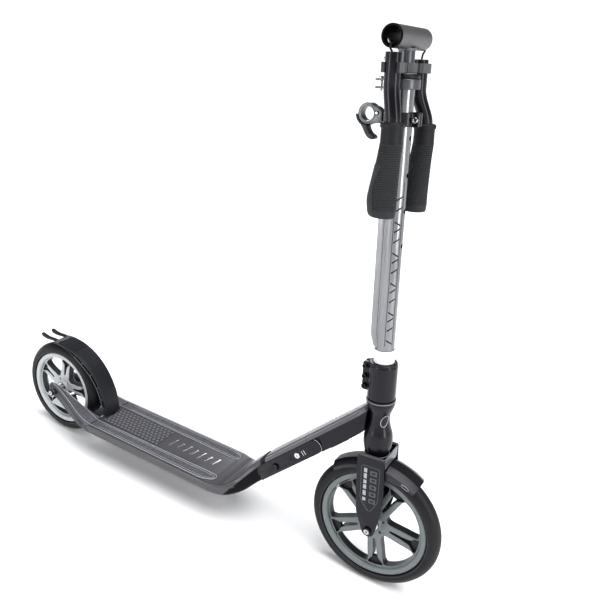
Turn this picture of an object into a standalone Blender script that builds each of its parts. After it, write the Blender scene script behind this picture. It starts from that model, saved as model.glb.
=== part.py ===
"""Adult kick scooter with big wheels, folded handlebar halves clipped to the stem.

Metres, +Z up, +X is the direction of travel, +Y is the rider's left. The origin is on the floor, halfway
along the scooter. The stem parts are modelled in the frame of the steering axis: its local Z runs up the
stem from the level of the front axle, its local X points forward. The fold parts use the line of the
downtube: "along" runs up the tube from the fold pivot, "over" is square to it.
"""

import math

import bmesh
import bpy
from mathutils import Matrix, Vector

# Driving dimensions
WHEELBASE = 0.735
FRONT_RADIUS = 0.115
REAR_RADIUS = 0.100
FRONT_X = 0.360
REAR_X = FRONT_X - WHEELBASE
STEM_RAKE = math.radians(5.0)
FORK_OFFSET = 0.005
GAP = 0.0003

DECK_BACK = -0.2455
DECK_FRONT = 0.0620
DECK_HALF = 0.0610
DECK_TOP = 0.083
DECK_UNDER = 0.063

TUBE_ANGLE = math.radians(45.0)
PIVOT_X, PIVOT_Z = 0.174, 0.153
TUBE_HALF = 0.0262
TUBE_BELOW = -0.0115
TUBE_SIDE = 0.0135
TUBE_CROWN = 0.0225
TUBE_CROWN_HALF = 0.0170
PLATE_ALONG = 0.112

RIM_WIDTH = 0.026
TYRE_WIDTH = 0.030
FRONT_RIM = 0.0945
REAR_RIM = 0.0795
HUB_RADIUS = 0.0240
AXLE_RADIUS = 0.0040
BEARING_RADIUS = 0.0110
BEARING_WIDTH = 0.0070
SPOKES = 5

BLADE_IN, BLADE_OUT = 0.0255, 0.0310
CROWN_LOW, CROWN_TOP = 0.1180, 0.1240
STEERER_RADIUS = 0.0113
HEAD_LOW, HEAD_TOP = 0.1310, 0.2300
STEM_RADIUS, STEM_BORE = 0.0145, 0.0118
STEM_LOW, STEM_TOP = 0.2365, 0.6905
INNER_RADIUS = 0.0111
T_LEVEL, T_RADIUS, T_BORE, T_HALF = 0.7520, 0.0145, 0.0118, 0.0540
HOLE_PITCH = 0.050

BAR_RADIUS = 0.0108
BAR_SIDE = 0.0450
CLIP_LOW, CLIP_TOP = 0.7085, 0.7215
LATCH_X, LATCH_Z = -0.0480, 0.6550
PIN_X, PIN_Z = -0.0340, 0.6560

SMOOTH_ANGLE = math.radians(35)


def clear_scene():
    for obj in list(bpy.data.objects):
        bpy.data.objects.remove(obj, do_unlink=True)


def new_collection(name):
    collection = bpy.data.collections.new(name)
    bpy.context.scene.collection.children.link(collection)
    return collection


clear_scene()
SCOOTER = new_collection("kick_scooter")
CUTTERS = new_collection("cutters")
CUTTERS.hide_render = True


def material(name, colour, roughness, metallic=0.0):
    made = bpy.data.materials.new(name)
    made.use_nodes = True
    shader = made.node_tree.nodes["Principled BSDF"]
    shader.inputs["Base Color"].default_value = (*colour, 1.0)
    shader.inputs["Roughness"].default_value = roughness
    shader.inputs["Metallic"].default_value = metallic
    return made


BLACK_PAINT = material("black_paint", (0.02, 0.02, 0.024), 0.4)
GREY_PAINT = material("grey_paint", (0.10, 0.10, 0.11), 0.45, 0.6)
SILVER = material("silver_alloy", (0.42, 0.43, 0.45), 0.3, 1.0)
STEEL = material("steel", (0.6, 0.6, 0.62), 0.25, 1.0)
RIM_GREY = material("rim_grey", (0.24, 0.25, 0.26), 0.45, 0.3)
RUBBER = material("rubber", (0.02, 0.02, 0.02), 0.8)
GRIP_RUBBER = material("grip_rubber", (0.05, 0.05, 0.055), 0.75)
GRIP_TAPE = material("grip_tape", (0.06, 0.06, 0.065), 0.95)
CLIP_PLASTIC = material("clip_plastic", (0.16, 0.17, 0.17), 0.5)
BLACK_PLASTIC = material("black_plastic", (0.02, 0.02, 0.02), 0.5)
WHITE_PLASTIC = material("white_plastic", (0.85, 0.86, 0.87), 0.4)
ELASTIC = material("elastic", (0.015, 0.015, 0.015), 0.9)


def empty(name, location, rotation=(0, 0, 0), parent=None):
    made = bpy.data.objects.new(name, None)
    made.location = location
    made.rotation_euler = rotation
    made.parent = parent
    SCOOTER.objects.link(made)
    return made


STEERING = empty("steering_axis", (FRONT_X - FORK_OFFSET * math.cos(STEM_RAKE), 0,
                                   FRONT_RADIUS - FORK_OFFSET * math.sin(STEM_RAKE)), (0, -STEM_RAKE, 0))
FOLD = empty("fold_pivot", (PIVOT_X, 0, PIVOT_Z), (0, -TUBE_ANGLE, 0))
FRONT_AXLE = empty("front_axle_line", (FORK_OFFSET, 0, 0), parent=STEERING)
REAR_AXLE = empty("rear_axle_line", (REAR_X, 0, REAR_RADIUS))
FENDER_PIN = empty("fender_pin_line", (REAR_X + 0.110, 0, 0.078))


def place(obj, name, surface, parent=None):
    """Names the part, gives it its material, and hangs it on the empty whose frame it was modelled in."""
    obj.name = name
    obj.data.name = name
    obj.parent = parent
    if obj.type == "MESH":
        obj.data.materials.clear()
        obj.data.shade_smooth()
        obj.data.set_sharp_from_angle(angle=SMOOTH_ANGLE)
    obj.data.materials.append(surface)
    return obj


def as_object(name, mesh, collection=None):
    obj = bpy.data.objects.new(name, mesh)
    (collection or SCOOTER).objects.link(obj)
    return obj


def from_bmesh(name, work):
    bmesh.ops.recalc_face_normals(work, faces=work.faces)
    mesh = bpy.data.meshes.new(name)
    work.to_mesh(mesh)
    work.free()
    return as_object(name, mesh)


def box(low, high, name="box"):
    """A box between two opposite corners."""
    work = bmesh.new()
    bmesh.ops.create_cube(work, size=1.0)
    low, high = Vector(low), Vector(high)
    bmesh.ops.scale(work, vec=high - low, verts=work.verts)
    bmesh.ops.translate(work, vec=(low + high) / 2, verts=work.verts)
    return from_bmesh(name, work)


TURN = {"X": Matrix.Rotation(math.pi / 2, 4, "Y"), "Y": Matrix.Rotation(-math.pi / 2, 4, "X"),
        "Z": Matrix.Identity(4)}


def rod(start, axis, length, radius, sides=16, top=None, name="rod"):
    """A cylinder or cone from its start point along +X, +Y or +Z."""
    work = bmesh.new()
    bmesh.ops.create_cone(work, cap_ends=True, segments=sides, radius1=radius,
                          radius2=radius if top is None else top, depth=length,
                          matrix=Matrix.Translation((0, 0, length / 2)))
    bmesh.ops.transform(work, matrix=Matrix.Translation(start) @ TURN[axis], verts=work.verts)
    return from_bmesh(name, work)


def turned(profile, steps=24, axis="Z", closed=False, at=(0, 0, 0), name="turned"):
    """A profile of (radius, height) points, top to bottom down the outer side, turned once round the axis."""
    mesh = bpy.data.meshes.new(name)
    count = len(profile)
    edges = [(i, i + 1) for i in range(count - 1)] + ([(count - 1, 0)] if closed else [])
    mesh.from_pydata([(radius, 0, height) for radius, height in profile], edges, [])
    obj = as_object(name, mesh)
    screw = obj.modifiers.new("Screw", "SCREW")
    screw.steps = steps
    screw.render_steps = steps
    screw.use_merge_vertices = True
    screw.merge_threshold = 0.00001
    solid = baked(obj)
    solid.data.transform(Matrix.Translation(at) @ TURN[axis])
    return solid


def ring(inner, outer, low, high, steps=24, axis="Z", at=(0, 0, 0), name="ring"):
    """A plain sleeve: a rectangle turned round the axis."""
    profile = [(inner, high), (outer, high), (outer, low), (inner, low)]
    return turned(profile, steps, axis, closed=True, at=at, name=name)


def plate(points, low, high, holes=(), name="plate"):
    """An outline of (x, z) points, extruded in y from low to high, with any holes as further outlines."""
    curve = bpy.data.curves.new(name, "CURVE")
    curve.dimensions = "2D"
    curve.fill_mode = "BOTH"
    curve.extrude = (high - low) / 2
    for loop in (points, *holes):
        spline = curve.splines.new("POLY")
        spline.points.add(len(loop) - 1)
        for point, (x, z) in zip(spline.points, loop):
            point.co = (x, z, 0, 1)
        spline.use_cyclic_u = True
    obj = as_object(name, curve)
    obj.matrix_world = Matrix.Translation((0, (low + high) / 2, 0)) @ Matrix.Rotation(math.pi / 2, 4, "X")
    bpy.context.view_layer.update()
    return baked(obj)


def circle_points(x, z, radius, count, start=0.0, end=2 * math.pi):
    """Points on a circle, or on an arc with both its ends."""
    whole = abs(end - start - 2 * math.pi) < 1e-6
    steps = count if whole else count - 1
    return [(x + radius * math.cos(start + (end - start) * i / steps),
             z + radius * math.sin(start + (end - start) * i / steps)) for i in range(count)]


def tube_path(points, radius, resolution=2, name="tube"):
    """A round bar along points, as a closed mesh."""
    curve = bpy.data.curves.new(name, "CURVE")
    curve.dimensions = "3D"
    curve.bevel_depth = radius
    curve.bevel_resolution = resolution
    curve.use_fill_caps = True
    spline = curve.splines.new("POLY")
    spline.points.add(len(points) - 1)
    for point, co in zip(spline.points, points):
        point.co = (*co, 1)
    return baked(as_object(name, curve))


def loft(sections, name="loft"):
    """A closed solid through sections that all have the same number of points."""
    work = bmesh.new()
    rows = [[work.verts.new(co) for co in section] for section in sections]
    count = len(rows[0])
    for near, far in zip(rows, rows[1:]):
        for i in range(count):
            j = (i + 1) % count
            work.faces.new((near[i], near[j], far[j], far[i]))
    work.faces.new(rows[0])
    work.faces.new(rows[-1])
    return from_bmesh(name, work)


def baked(obj, weld=True):
    """The object's evaluated mesh as a new object in place of the old one, with a curve's caps welded on."""
    bpy.context.view_layer.update()
    graph = bpy.context.evaluated_depsgraph_get()
    mesh = bpy.data.meshes.new_from_object(obj.evaluated_get(graph))
    mesh.transform(obj.matrix_world)
    if weld:
        work = bmesh.new()
        work.from_mesh(mesh)
        bmesh.ops.remove_doubles(work, verts=work.verts, dist=0.000005)
        bmesh.ops.recalc_face_normals(work, faces=work.faces)
        work.to_mesh(mesh)
        work.free()
    solid = as_object(obj.name + "_solid", mesh)
    bpy.data.objects.remove(obj, do_unlink=True)
    return solid


def combine(obj, others, operation):
    """Booleans of one object with several in the same frame, applied so that it can be cut or joined again."""
    for other in others:
        for collection in list(other.users_collection):
            collection.objects.unlink(other)
        CUTTERS.objects.link(other)
        other.hide_render = True
        other.display_type = "WIRE"
        modifier = obj.modifiers.new(operation.title(), "BOOLEAN")
        modifier.operation = operation
        modifier.solver = "EXACT"
        modifier.object = other
    return baked(obj, weld=False)


def cut(obj, *cutters):
    return combine(obj, cutters, "DIFFERENCE")


def join(obj, *others):
    return combine(obj, others, "UNION")


def bevelled(obj, width, segments=1, angle=30):
    modifier = obj.modifiers.new("Bevel", "BEVEL")
    modifier.width = width
    modifier.segments = segments
    modifier.limit_method = "ANGLE"
    modifier.angle_limit = math.radians(angle)
    return baked(obj)


# Deck and rear


def deck():
    """Board with rounded edges, in one piece with the neck that narrows and turns up to the fold."""
    board = box((DECK_BACK, -DECK_HALF, DECK_UNDER), (DECK_FRONT, DECK_HALF, DECK_TOP))
    board = bevelled(board, 0.004, 2)
    turn = math.radians
    rows = ((DECK_FRONT - 0.0080, 0.0735, 0, 0.0600, 0.0100, 0.0093),
            (DECK_FRONT, 0.0735, 0, 0.0598, 0.0100, 0.0094),
            (0.0850, 0.0760, turn(10), 0.0530, 0.0115, 0.0110),
            (0.1080, 0.0870, turn(28), 0.0400, 0.0120, 0.0160),
            (0.1316, 0.1106, turn(43), 0.0300, 0.0115, 0.0205),
            (0.1415, 0.1205, turn(45), 0.0230, 0.0115, 0.0215),
            (0.1531, 0.1321, turn(45), 0.0230, 0.0115, 0.0225))
    place(join(board, loft([neck_section(*row) for row in rows])), "deck", GREY_PAINT)


def deck_covers():
    """Two grip strips and, at the back between them, a moulded tread mat, all lying on the deck."""
    low, high = DECK_TOP + GAP, DECK_TOP + 0.0015
    for side, name in ((-1, "grip_strip_right"), (1, "grip_strip_left")):
        strip = box((-0.2160, min(side * 0.030, side * 0.054), low), (0.0580, max(side * 0.030, side * 0.054), high))
        place(strip, name, GRIP_TAPE)
    place(box((-0.2160, -0.0270, low), (-0.0900, 0.0270, high)), "tread_mat", BLACK_PLASTIC)


def neck_section(x, z, tilt, half, below, above):
    """An eight-sided section across the line of the deck and downtube, square to it, chamfered on top."""
    up = Vector((-math.sin(tilt), 0, math.cos(tilt)))
    centre = Vector((x, 0, z))
    soft = min(0.004, half / 6)
    shoulder = min(0.009, (above + below) * 0.3)
    outline = ((-half + soft, -below), (half - soft, -below), (half, -below + soft), (half, above - shoulder),
               (half - shoulder, above), (-half + shoulder, above), (-half, above - shoulder),
               (-half, -below + soft))
    return [centre + Vector((0, y, 0)) + up * n for y, n in outline]


def fold_plates():
    """The two black cheeks outside the fold, with a round front end. The pivot bolt goes through both."""
    centre = (TUBE_BELOW + TUBE_SIDE) / 2
    radius = (TUBE_SIDE - TUBE_BELOW) / 2
    end = circle_points(PLATE_ALONG - radius, centre, radius, 9, -math.pi / 2, math.pi / 2)
    outline = [(-0.043, TUBE_BELOW), *end, (-0.036, TUBE_SIDE), (-0.043, 0.004)]
    for side, name in ((-1, "fold_plate_right"), (1, "fold_plate_left")):
        low, high = sorted((side * 0.0234, side * TUBE_HALF))
        place(plate(outline, low, high, holes=[circle_points(0, 0, 0.0045, 12)]), name, BLACK_PAINT, FOLD)
    shank = rod((0, -0.0290, 0), "Y", 0.0580, 0.0040)
    heads = [rod((0, y, 0), "Y", 0.0032, 0.0070) for y in (-0.0297, 0.0265)]
    place(join(shank, *heads), "fold_pivot_bolt", STEEL, FOLD)


def arm_section(x, inner, outer, low, high, side):
    soft = 0.003
    outline = ((inner, low), (outer - soft, low), (outer, low + soft), (outer, high - 2 * soft),
               (outer - soft, high), (inner, high))
    return [(REAR_X + x, side * y, z) for y, z in outline]


def rear_arms():
    """Two tapering arms from the back of the deck, rising to the rear axle outside the wheel."""
    rows = ((0.1292, 0.0215, 0.0605, 0.0635, 0.0830), (0.0900, 0.0235, 0.0545, 0.0660, 0.0900),
            (0.0500, 0.0255, 0.0445, 0.0740, 0.1020), (0.0200, 0.0260, 0.0375, 0.0830, 0.1120),
            (-0.0130, 0.0262, 0.0340, 0.0890, 0.1170))
    for side, name in ((-1, "rear_arm_right"), (1, "rear_arm_left")):
        arm = loft([arm_section(*row, side) for row in rows])
        axle_hole = rod((REAR_X, -0.050, REAR_RADIUS), "Y", 0.100, 0.0044)
        pin_hole = rod((REAR_X + 0.110, -0.031, 0.078), "Y", 0.062, 0.0023, 12)
        place(cut(arm, axle_hole, pin_hole), name, BLACK_PAINT)


def wheel_axle(prefix, reach, head_at, parent):
    """A bolt through the hub bearings, with a head and a nut, and a spacer on each side of the hub."""
    shank = rod((0, -reach, 0), "Y", 2 * reach, AXLE_RADIUS)
    heads = [rod((0, y, 0), "Y", 0.0040, 0.0075, 12) for y in (-head_at - 0.0040, head_at)]
    place(join(shank, *heads), prefix + "_axle", STEEL, parent)
    hub_half = RIM_WIDTH / 2 - 0.0010
    for side, name in ((-1, "right"), (1, "left")):
        low, high = sorted((side * (hub_half + GAP), side * (0.0252 if prefix == "front" else 0.0257)))
        spacer = ring(AXLE_RADIUS + GAP, 0.0075, low, high, 16, "Y")
        place(spacer, f"{prefix}_spacer_{name}", STEEL, parent)


def wheel(prefix, radius, rim_radius, first_spoke, parent):
    """Rim with five double spokes, tyre, and two bearings pressed into the hub."""
    half = RIM_WIDTH / 2
    inner = rim_radius - 0.0105
    hoop = turned([(inner, half - 0.003), (rim_radius - 0.0015, half), (rim_radius, half - 0.0015),
                   (rim_radius, -half + 0.0015), (rim_radius - 0.0015, -half), (inner, -half + 0.003)],
                  40, "Y", closed=True)
    hub = ring(BEARING_RADIUS + GAP, HUB_RADIUS, -half + 0.0010, half - 0.0010, 18, "Y")
    windows = [circle_points(0, 0, 0.0180, 16), *rim_windows(inner, first_spoke)]
    spider = plate(circle_points(0, 0, inner + 0.0040, 40), -0.0085, 0.0085, holes=windows)
    place(join(spider, hub, hoop), prefix + "_rim", RIM_GREY, parent)
    shoulder = TYRE_WIDTH / 2
    tread = [(rim_radius + GAP, shoulder - 0.002), (rim_radius + 0.004, shoulder), (radius - 0.0075, 0.0125),
             (radius - 0.0022, 0.0075), (radius, 0.0), (radius - 0.0022, -0.0075), (radius - 0.0075, -0.0125),
             (rim_radius + 0.004, -shoulder), (rim_radius + GAP, -shoulder + 0.002)]
    place(turned(tread, 48, "Y", closed=True), prefix + "_tyre", RUBBER, parent)
    for side, name in ((-1, "right"), (1, "left")):
        low, high = sorted((side * (half - 0.0012), side * (half - 0.0012 - BEARING_WIDTH)))
        bearing = ring(AXLE_RADIUS + GAP, BEARING_RADIUS, low, high, 16, "Y")
        place(bearing, f"{prefix}_bearing_{name}", STEEL, parent)


def rim_windows(reach, first_spoke):
    """The openings that leave five double spokes: a wide one between spokes, a narrow slot down each spoke."""
    low, middle, high = HUB_RADIUS + 0.005, 0.6 * reach, reach - 0.001
    wide = ((low, 23), (middle, 14), (high, 10), (high, 23), (high, 36), (high, 49), (high, 62), (middle, 58),
            (low, 49))
    narrow = ((0.031, -4), (middle, -2.6), (high, -4), (high, 4), (middle, 2.6), (0.031, 4))
    loops = []
    for index in range(SPOKES):
        turn = first_spoke + 360 * index / SPOKES
        for window in (wide, narrow):
            loops.append([polar(radius, math.radians(turn + degrees)) for radius, degrees in window])
    return loops


def polar(radius, angle):
    return radius * math.cos(angle), radius * math.sin(angle)


def fender_radius(angle):
    """Outer radius of the rear fender: close over the wheel's top, opening towards its foot on the deck."""
    share = max(0.0, min(1.0, (math.radians(94) - angle) / math.radians(100)))
    return 0.1120 + 0.0300 * share ** 1.5


def fender_half(angle):
    share = max(0.0, min(1.0, angle / math.radians(60)))
    return 0.0185 + 0.0025 * share


def rear_fender():
    """A channel over the rear wheel from its foot on the deck to two prongs at the back, with pivot ears."""
    sections = []
    steps = 12
    for index in range(steps + 1):
        angle = math.radians(-4.5 + (94 + 4.5) * index / steps)
        outer, half = fender_radius(angle), fender_half(angle)
        skirt = 0.1065 + 0.018 * max(0.0, 1 - angle / math.radians(50))
        profile = ((-half, skirt), (-half, outer - 0.002), (-half + 0.003, outer), (half - 0.003, outer),
                   (half, outer - 0.002), (half, skirt), (half - 0.003, skirt), (half - 0.003, outer - 0.0045),
                   (-half + 0.003, outer - 0.0045), (-half + 0.003, skirt))
        sections.append([(radius * math.cos(angle), y, radius * math.sin(angle)) for y, radius in profile])
    shell = loft(sections)
    ears = []
    for side in (-1, 1):
        low, high = sorted((side * 0.0181, side * 0.0158))
        pin_hole = circle_points(0.110, 0.078 - REAR_RADIUS, 0.0023, 12)
        ears.append(plate([(0.1035, -0.0160), (0.1035, -0.0270), (0.1160, -0.0270), (0.1270, -0.0160),
                           (0.1370, -0.0120), (0.1370, 0.0040), (0.1240, 0.0040)], low, high, holes=[pin_hole]))
        low, high = sorted((side * 0.0145, side * 0.0105))
        ears.append(plate([(0.004, 0.1085), (0.004, 0.1115), (-0.018, 0.1125), (-0.036, 0.1115), (-0.050, 0.1150),
                           (-0.051, 0.1110), (-0.036, 0.1065), (-0.018, 0.1075)], low, high))
    place(join(shell, *ears), "rear_fender", BLACK_PLASTIC, REAR_AXLE)
    place(rod((0, -0.0295, 0), "Y", 0.0590, 0.0020, 12), "fender_pin", STEEL, FENDER_PIN)


# Front frame


def head_profile(swell=0.0):
    """Outer side of the head tube, top to bottom: flared ends and a narrow waist."""
    points = ((0.0232, HEAD_TOP), (0.0232, 0.2255), (0.0205, 0.2170), (0.0172, 0.2080), (0.0162, 0.1980),
              (0.0168, 0.1880), (0.0195, 0.1780), (0.0226, 0.1680), (0.0235, 0.1560), (0.0230, 0.1430),
              (0.0205, HEAD_LOW))
    return [(radius + swell, height) for radius, height in points]


def head_tube():
    seat = 0.0172
    bore = STEERER_RADIUS + 0.0012
    inside = [(seat, HEAD_LOW), (seat, HEAD_LOW + 0.0100), (bore, HEAD_LOW + 0.0100), (bore, HEAD_TOP - 0.0100),
              (seat, HEAD_TOP - 0.0100), (seat, HEAD_TOP)]
    place(turned(head_profile() + inside, 28, closed=True), "head_tube", BLACK_PAINT, STEERING)
    for name, low in (("headset_bearing_lower", HEAD_LOW + GAP), ("headset_bearing_upper", HEAD_TOP - 0.0097)):
        place(ring(STEERER_RADIUS + GAP, seat - GAP, low, low + 0.0094, 20), name, STEEL, STEERING)
    race = [(0.0195, HEAD_LOW - GAP), (0.0212, 0.1275), (0.0205, CROWN_TOP + GAP),
            (STEERER_RADIUS + GAP, CROWN_TOP + GAP), (STEERER_RADIUS + GAP, HEAD_LOW - GAP)]
    place(turned(race, 24, closed=True), "crown_race", BLACK_PAINT, STEERING)


def downtube():
    """Crowned tube from the fold to the head tube, with a narrower tongue between the fold plates."""
    def section(along, half):
        crown = min(TUBE_CROWN_HALF, half - 0.004)
        outline = ((-half, TUBE_BELOW), (half, TUBE_BELOW), (half, TUBE_SIDE), (crown, TUBE_CROWN),
                   (-crown, TUBE_CROWN), (-half, TUBE_SIDE))
        return [(along, y, over) for y, over in outline]

    tube = loft([section(PLATE_ALONG + 0.0010, TUBE_HALF), section(0.2300, TUBE_HALF)])
    tongue = loft([section(-0.0140, 0.0230), section(PLATE_ALONG + 0.0040, 0.0230)])
    tube = cut(join(tube, tongue), rod((0, -0.05, 0), "Y", 0.10, 0.0045))
    # The joint with the head tube is worked out in the frame of the scooter.
    tube.data.transform(Matrix.Translation((PIVOT_X, 0, PIVOT_Z)) @ Matrix.Rotation(-TUBE_ANGLE, 4, "Y"))
    swollen = head_profile(0.0004)
    top, low = (swollen[0][0], 0.36), (swollen[-1][0], 0.05)
    cutter = turned([(0, top[1]), top, *swollen, low, (0, low[1])], 28)
    cutter.data.transform(Matrix.Translation(STEERING.location) @ Matrix.Rotation(-STEM_RAKE, 4, "Y"))
    tube = cut(tube, cutter, box((0.3225, -0.1, 0.2), (0.45, 0.1, 0.5)))
    place(tube, "downtube", BLACK_PAINT)


def release_lever():
    """The thin pedal under the downtube that frees the fold. It turns at its front end."""
    lever = loft([[(0.1180, y, over) for y, over in ((-0.012, -0.0155), (0.012, -0.0155), (0.012, -0.0135),
                                                     (-0.012, -0.0135))],
                  [(0.1240, y, over) for y, over in ((-0.013, -0.0158), (0.013, -0.0158), (0.013, -0.0120),
                                                     (-0.013, -0.0120))],
                  [(0.1580, y, over) for y, over in ((-0.011, -0.0150), (0.011, -0.0150), (0.011, -0.0120),
                                                     (-0.011, -0.0120))]])
    place(lever, "fold_release_lever", BLACK_PLASTIC, FOLD)


# Fork and front fender


def fork():
    plate_crown = box((-0.0205, -BLADE_IN + GAP, CROWN_LOW), (0.0245, BLADE_IN - GAP, CROWN_TOP))
    front_wall = box((0.0234, -BLADE_IN + GAP, CROWN_LOW + 0.001), (0.0250, BLADE_IN - GAP, 0.1385))
    steerer = rod((0, 0, CROWN_TOP - 0.002), "Z", 0.2870 - CROWN_TOP, STEERER_RADIUS, 20)
    place(join(plate_crown, front_wall, steerer), "fork_crown", BLACK_PAINT, STEERING)
    tip = circle_points(FORK_OFFSET, 0, 0.0115, 7, math.radians(-170), math.radians(-10))
    outline = [(-0.0210, 0.1395), (-0.0200, 0.0700), (-0.0178, 0.0300), *tip, (0.0260, 0.0450), (0.0272, 0.0880),
               (0.0250, 0.1395)]
    for side, name in ((-1, "fork_blade_right"), (1, "fork_blade_left")):
        low, high = sorted((side * BLADE_IN, side * BLADE_OUT))
        blade = plate(outline, low, high, holes=[circle_points(FORK_OFFSET, 0, 0.0044, 12)])
        place(blade, name, BLACK_PAINT, STEERING)


def front_fender(name, start, end, start_skirt, end_skirt):
    """A short cover over the front wheel between two angles round its axle: flat top, sloping sides, skirts."""
    sections = []
    steps = 4
    for index in range(steps + 1):
        share = index / steps
        angle = math.radians(start + (end - start) * share)
        skirt = start_skirt + (end_skirt - start_skirt) * share
        half = ((0.0100, 0.1222), (0.0240, 0.1155), (0.0240, skirt), (0.0214, skirt), (0.0214, 0.1140),
                (0.0092, 0.1192))
        profile = [*half, *((-y, radius) for y, radius in reversed(half))]
        sections.append([(radius * math.cos(angle), y, radius * math.sin(angle)) for y, radius in profile])
    place(loft(sections), name, BLACK_PLASTIC, FRONT_AXLE)


# Stem


def stem_clamp():
    """Clamp round the foot of the stem tube, split at the back and closed by three screws."""
    body = turned([(0.0205, 0.2910), (0.0225, 0.2890), (0.0225, 0.2330), (0.0215, 0.2320),
                   (STEM_RADIUS + GAP, 0.2320), (STEM_RADIUS + GAP, 0.2910)], 28, closed=True)
    ears = box((-0.0305, -0.0095, 0.2400), (-0.0190, 0.0095, 0.2875))
    slit = box((-0.0400, -0.0010, 0.2200), (-0.0100, 0.0010, 0.3000))
    levels = (0.2815, 0.2645, 0.2475)
    holes = [rod((-0.0255, -0.02, level), "Y", 0.04, 0.0025, 12) for level in levels]
    place(cut(join(body, ears), slit, *holes), "stem_clamp", BLACK_PAINT, STEERING)
    for index, level in enumerate(levels):
        shank = rod((-0.0255, -0.0120, level), "Y", 0.0215, 0.0020, 12)
        head = rod((-0.0255, -0.0145, level), "Y", 0.0045, 0.0043, 12)
        place(join(shank, head), f"clamp_screw_{index + 1}", STEEL, STEERING)


def stem_tube():
    """Extruded outer tube with a rib down its back and height holes in its front."""
    tube = ring(STEM_BORE, STEM_RADIUS, STEM_LOW, STEM_TOP, 28)
    rib = plate([(-0.0132, 0.3135), (-0.0175, 0.3135), (-0.0235, 0.3330), (-0.0235, 0.5900), (-0.0175, 0.6050),
                 (-0.0132, 0.6050)], -0.0040, 0.0040)
    holes = [rod((0.0080, 0, 0.6250 - HOLE_PITCH * index), "X", 0.010, 0.0034, 12) for index in range(4)]
    place(cut(join(tube, rib), *holes), "stem_tube", SILVER, STEERING)
    place(ring(STEM_RADIUS + GAP, 0.0163, 0.2915, 0.3130, 28), "stem_sleeve", WHITE_PLASTIC, STEERING)


def height_collar():
    """Split collar at the mouth of the stem tube, its two rear flanges pulled together by an upright screw."""
    body = turned([(0.0205, 0.7015), (0.0212, 0.7005), (0.0212, 0.6890), (0.0205, 0.6880),
                   (STEM_RADIUS + GAP, 0.6880), (STEM_RADIUS + GAP, STEM_TOP + GAP),
                   (INNER_RADIUS + GAP, STEM_TOP + GAP), (INNER_RADIUS + GAP, 0.7015)], 28, closed=True)
    flanges = [box((-0.0400, -0.0060, low), (-0.0170, 0.0060, low + 0.0028)) for low in (0.6882, 0.6985)]
    hole = rod((-0.0335, 0, 0.6800), "Z", 0.030, 0.0026, 12)
    place(cut(join(body, *flanges), hole), "height_collar", GREY_PAINT, STEERING)
    shank = rod((-0.0335, 0, 0.6850), "Z", 0.0185, 0.0022, 12)
    head = rod((-0.0335, 0, 0.7016), "Z", 0.0025, 0.0042, 12)
    place(join(shank, head), "collar_screw", STEEL, STEERING)
    cap = [(0.0150, 0.7078), (0.0195, 0.7072), (0.0205, 0.7050), (0.0200, 0.7018), (INNER_RADIUS + GAP, 0.7018),
           (INNER_RADIUS + GAP, 0.7060)]
    place(turned(cap, 28, closed=True), "collar_cap", BLACK_PLASTIC, STEERING)


def latch():
    """Band on the stem that carries the ring for the folded position, with its sprung, hooked lever."""
    band = ring(STEM_RADIUS + GAP, 0.0185, 0.6405, 0.6595, 28)
    ears = box((0.0165, -0.0080, 0.6405), (0.0265, 0.0080, 0.6595))
    back = box((-0.0255, -0.0065, 0.6420), (-0.0170, 0.0065, 0.6590))
    slit = box((0.0100, -0.0010, 0.6300), (0.0400, 0.0010, 0.6700))
    hole = rod((0.0220, -0.02, 0.6500), "Y", 0.04, 0.0025, 12)
    place(cut(join(band, ears, back), slit, hole), "latch_band", BLACK_PAINT, STEERING)
    shank = rod((0.0220, -0.0100, 0.6500), "Y", 0.0180, 0.0020, 12)
    head = rod((0.0220, -0.0118, 0.6500), "Y", 0.0036, 0.0044, 12)
    place(join(shank, head), "latch_band_screw", STEEL, STEERING)

    disc = rod((LATCH_X, -0.0070, LATCH_Z), "Y", 0.0140, 0.0145, 28)
    arm = plate([(-0.0258, 0.6425), (-0.0258, 0.6592), (-0.0400, 0.6680), (-0.0480, 0.6550), (-0.0400, 0.6425)],
                -0.0070, 0.0070)
    eye = rod((LATCH_X, -0.02, LATCH_Z), "Y", 0.04, 0.0095, 28)
    pin_hole = rod((PIN_X, -0.02, PIN_Z), "Y", 0.04, 0.0021, 12)
    place(cut(join(disc, arm), eye, pin_hole), "latch_ring", GREY_PAINT, STEERING)
    place(rod((PIN_X, -0.0085, PIN_Z), "Y", 0.0180, 0.0018, 12), "latch_pin", STEEL, STEERING)


def latch_lever():
    """A curved jaw under the ring with a hooked tail, on a cheek that turns on the latch pin."""
    inner = circle_points(LATCH_X, LATCH_Z, 0.0152, 9, math.radians(262), math.radians(184))
    outer = circle_points(LATCH_X, LATCH_Z, 0.0182, 7, math.radians(184), math.radians(236))
    tail = [(-0.0540, 0.6330), (-0.0465, 0.6225), (-0.0385, 0.6205), (-0.0370, 0.6250), (-0.0435, 0.6285),
            (-0.0470, 0.6345), (-0.0480, 0.6390)]
    jaw = plate(inner + outer + tail, -0.0070, 0.0074)
    rim = circle_points(LATCH_X, LATCH_Z, 0.0176, 8, math.radians(188), math.radians(258))
    arm = [(-0.0380, 0.6425), (-0.0300, 0.6530), (-0.0300, 0.6600), (-0.0370, 0.6600), (-0.0392, 0.6500)]
    back = circle_points(LATCH_X, LATCH_Z, 0.0120, 8, math.radians(290), math.radians(192))
    pin_hole = circle_points(PIN_X, PIN_Z, 0.0021, 12)
    cheek = plate(rim + arm + back, 0.0072, 0.0095, holes=[pin_hole])
    place(join(jaw, cheek), "latch_lever", BLACK_PLASTIC, STEERING)


# Handlebar


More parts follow.
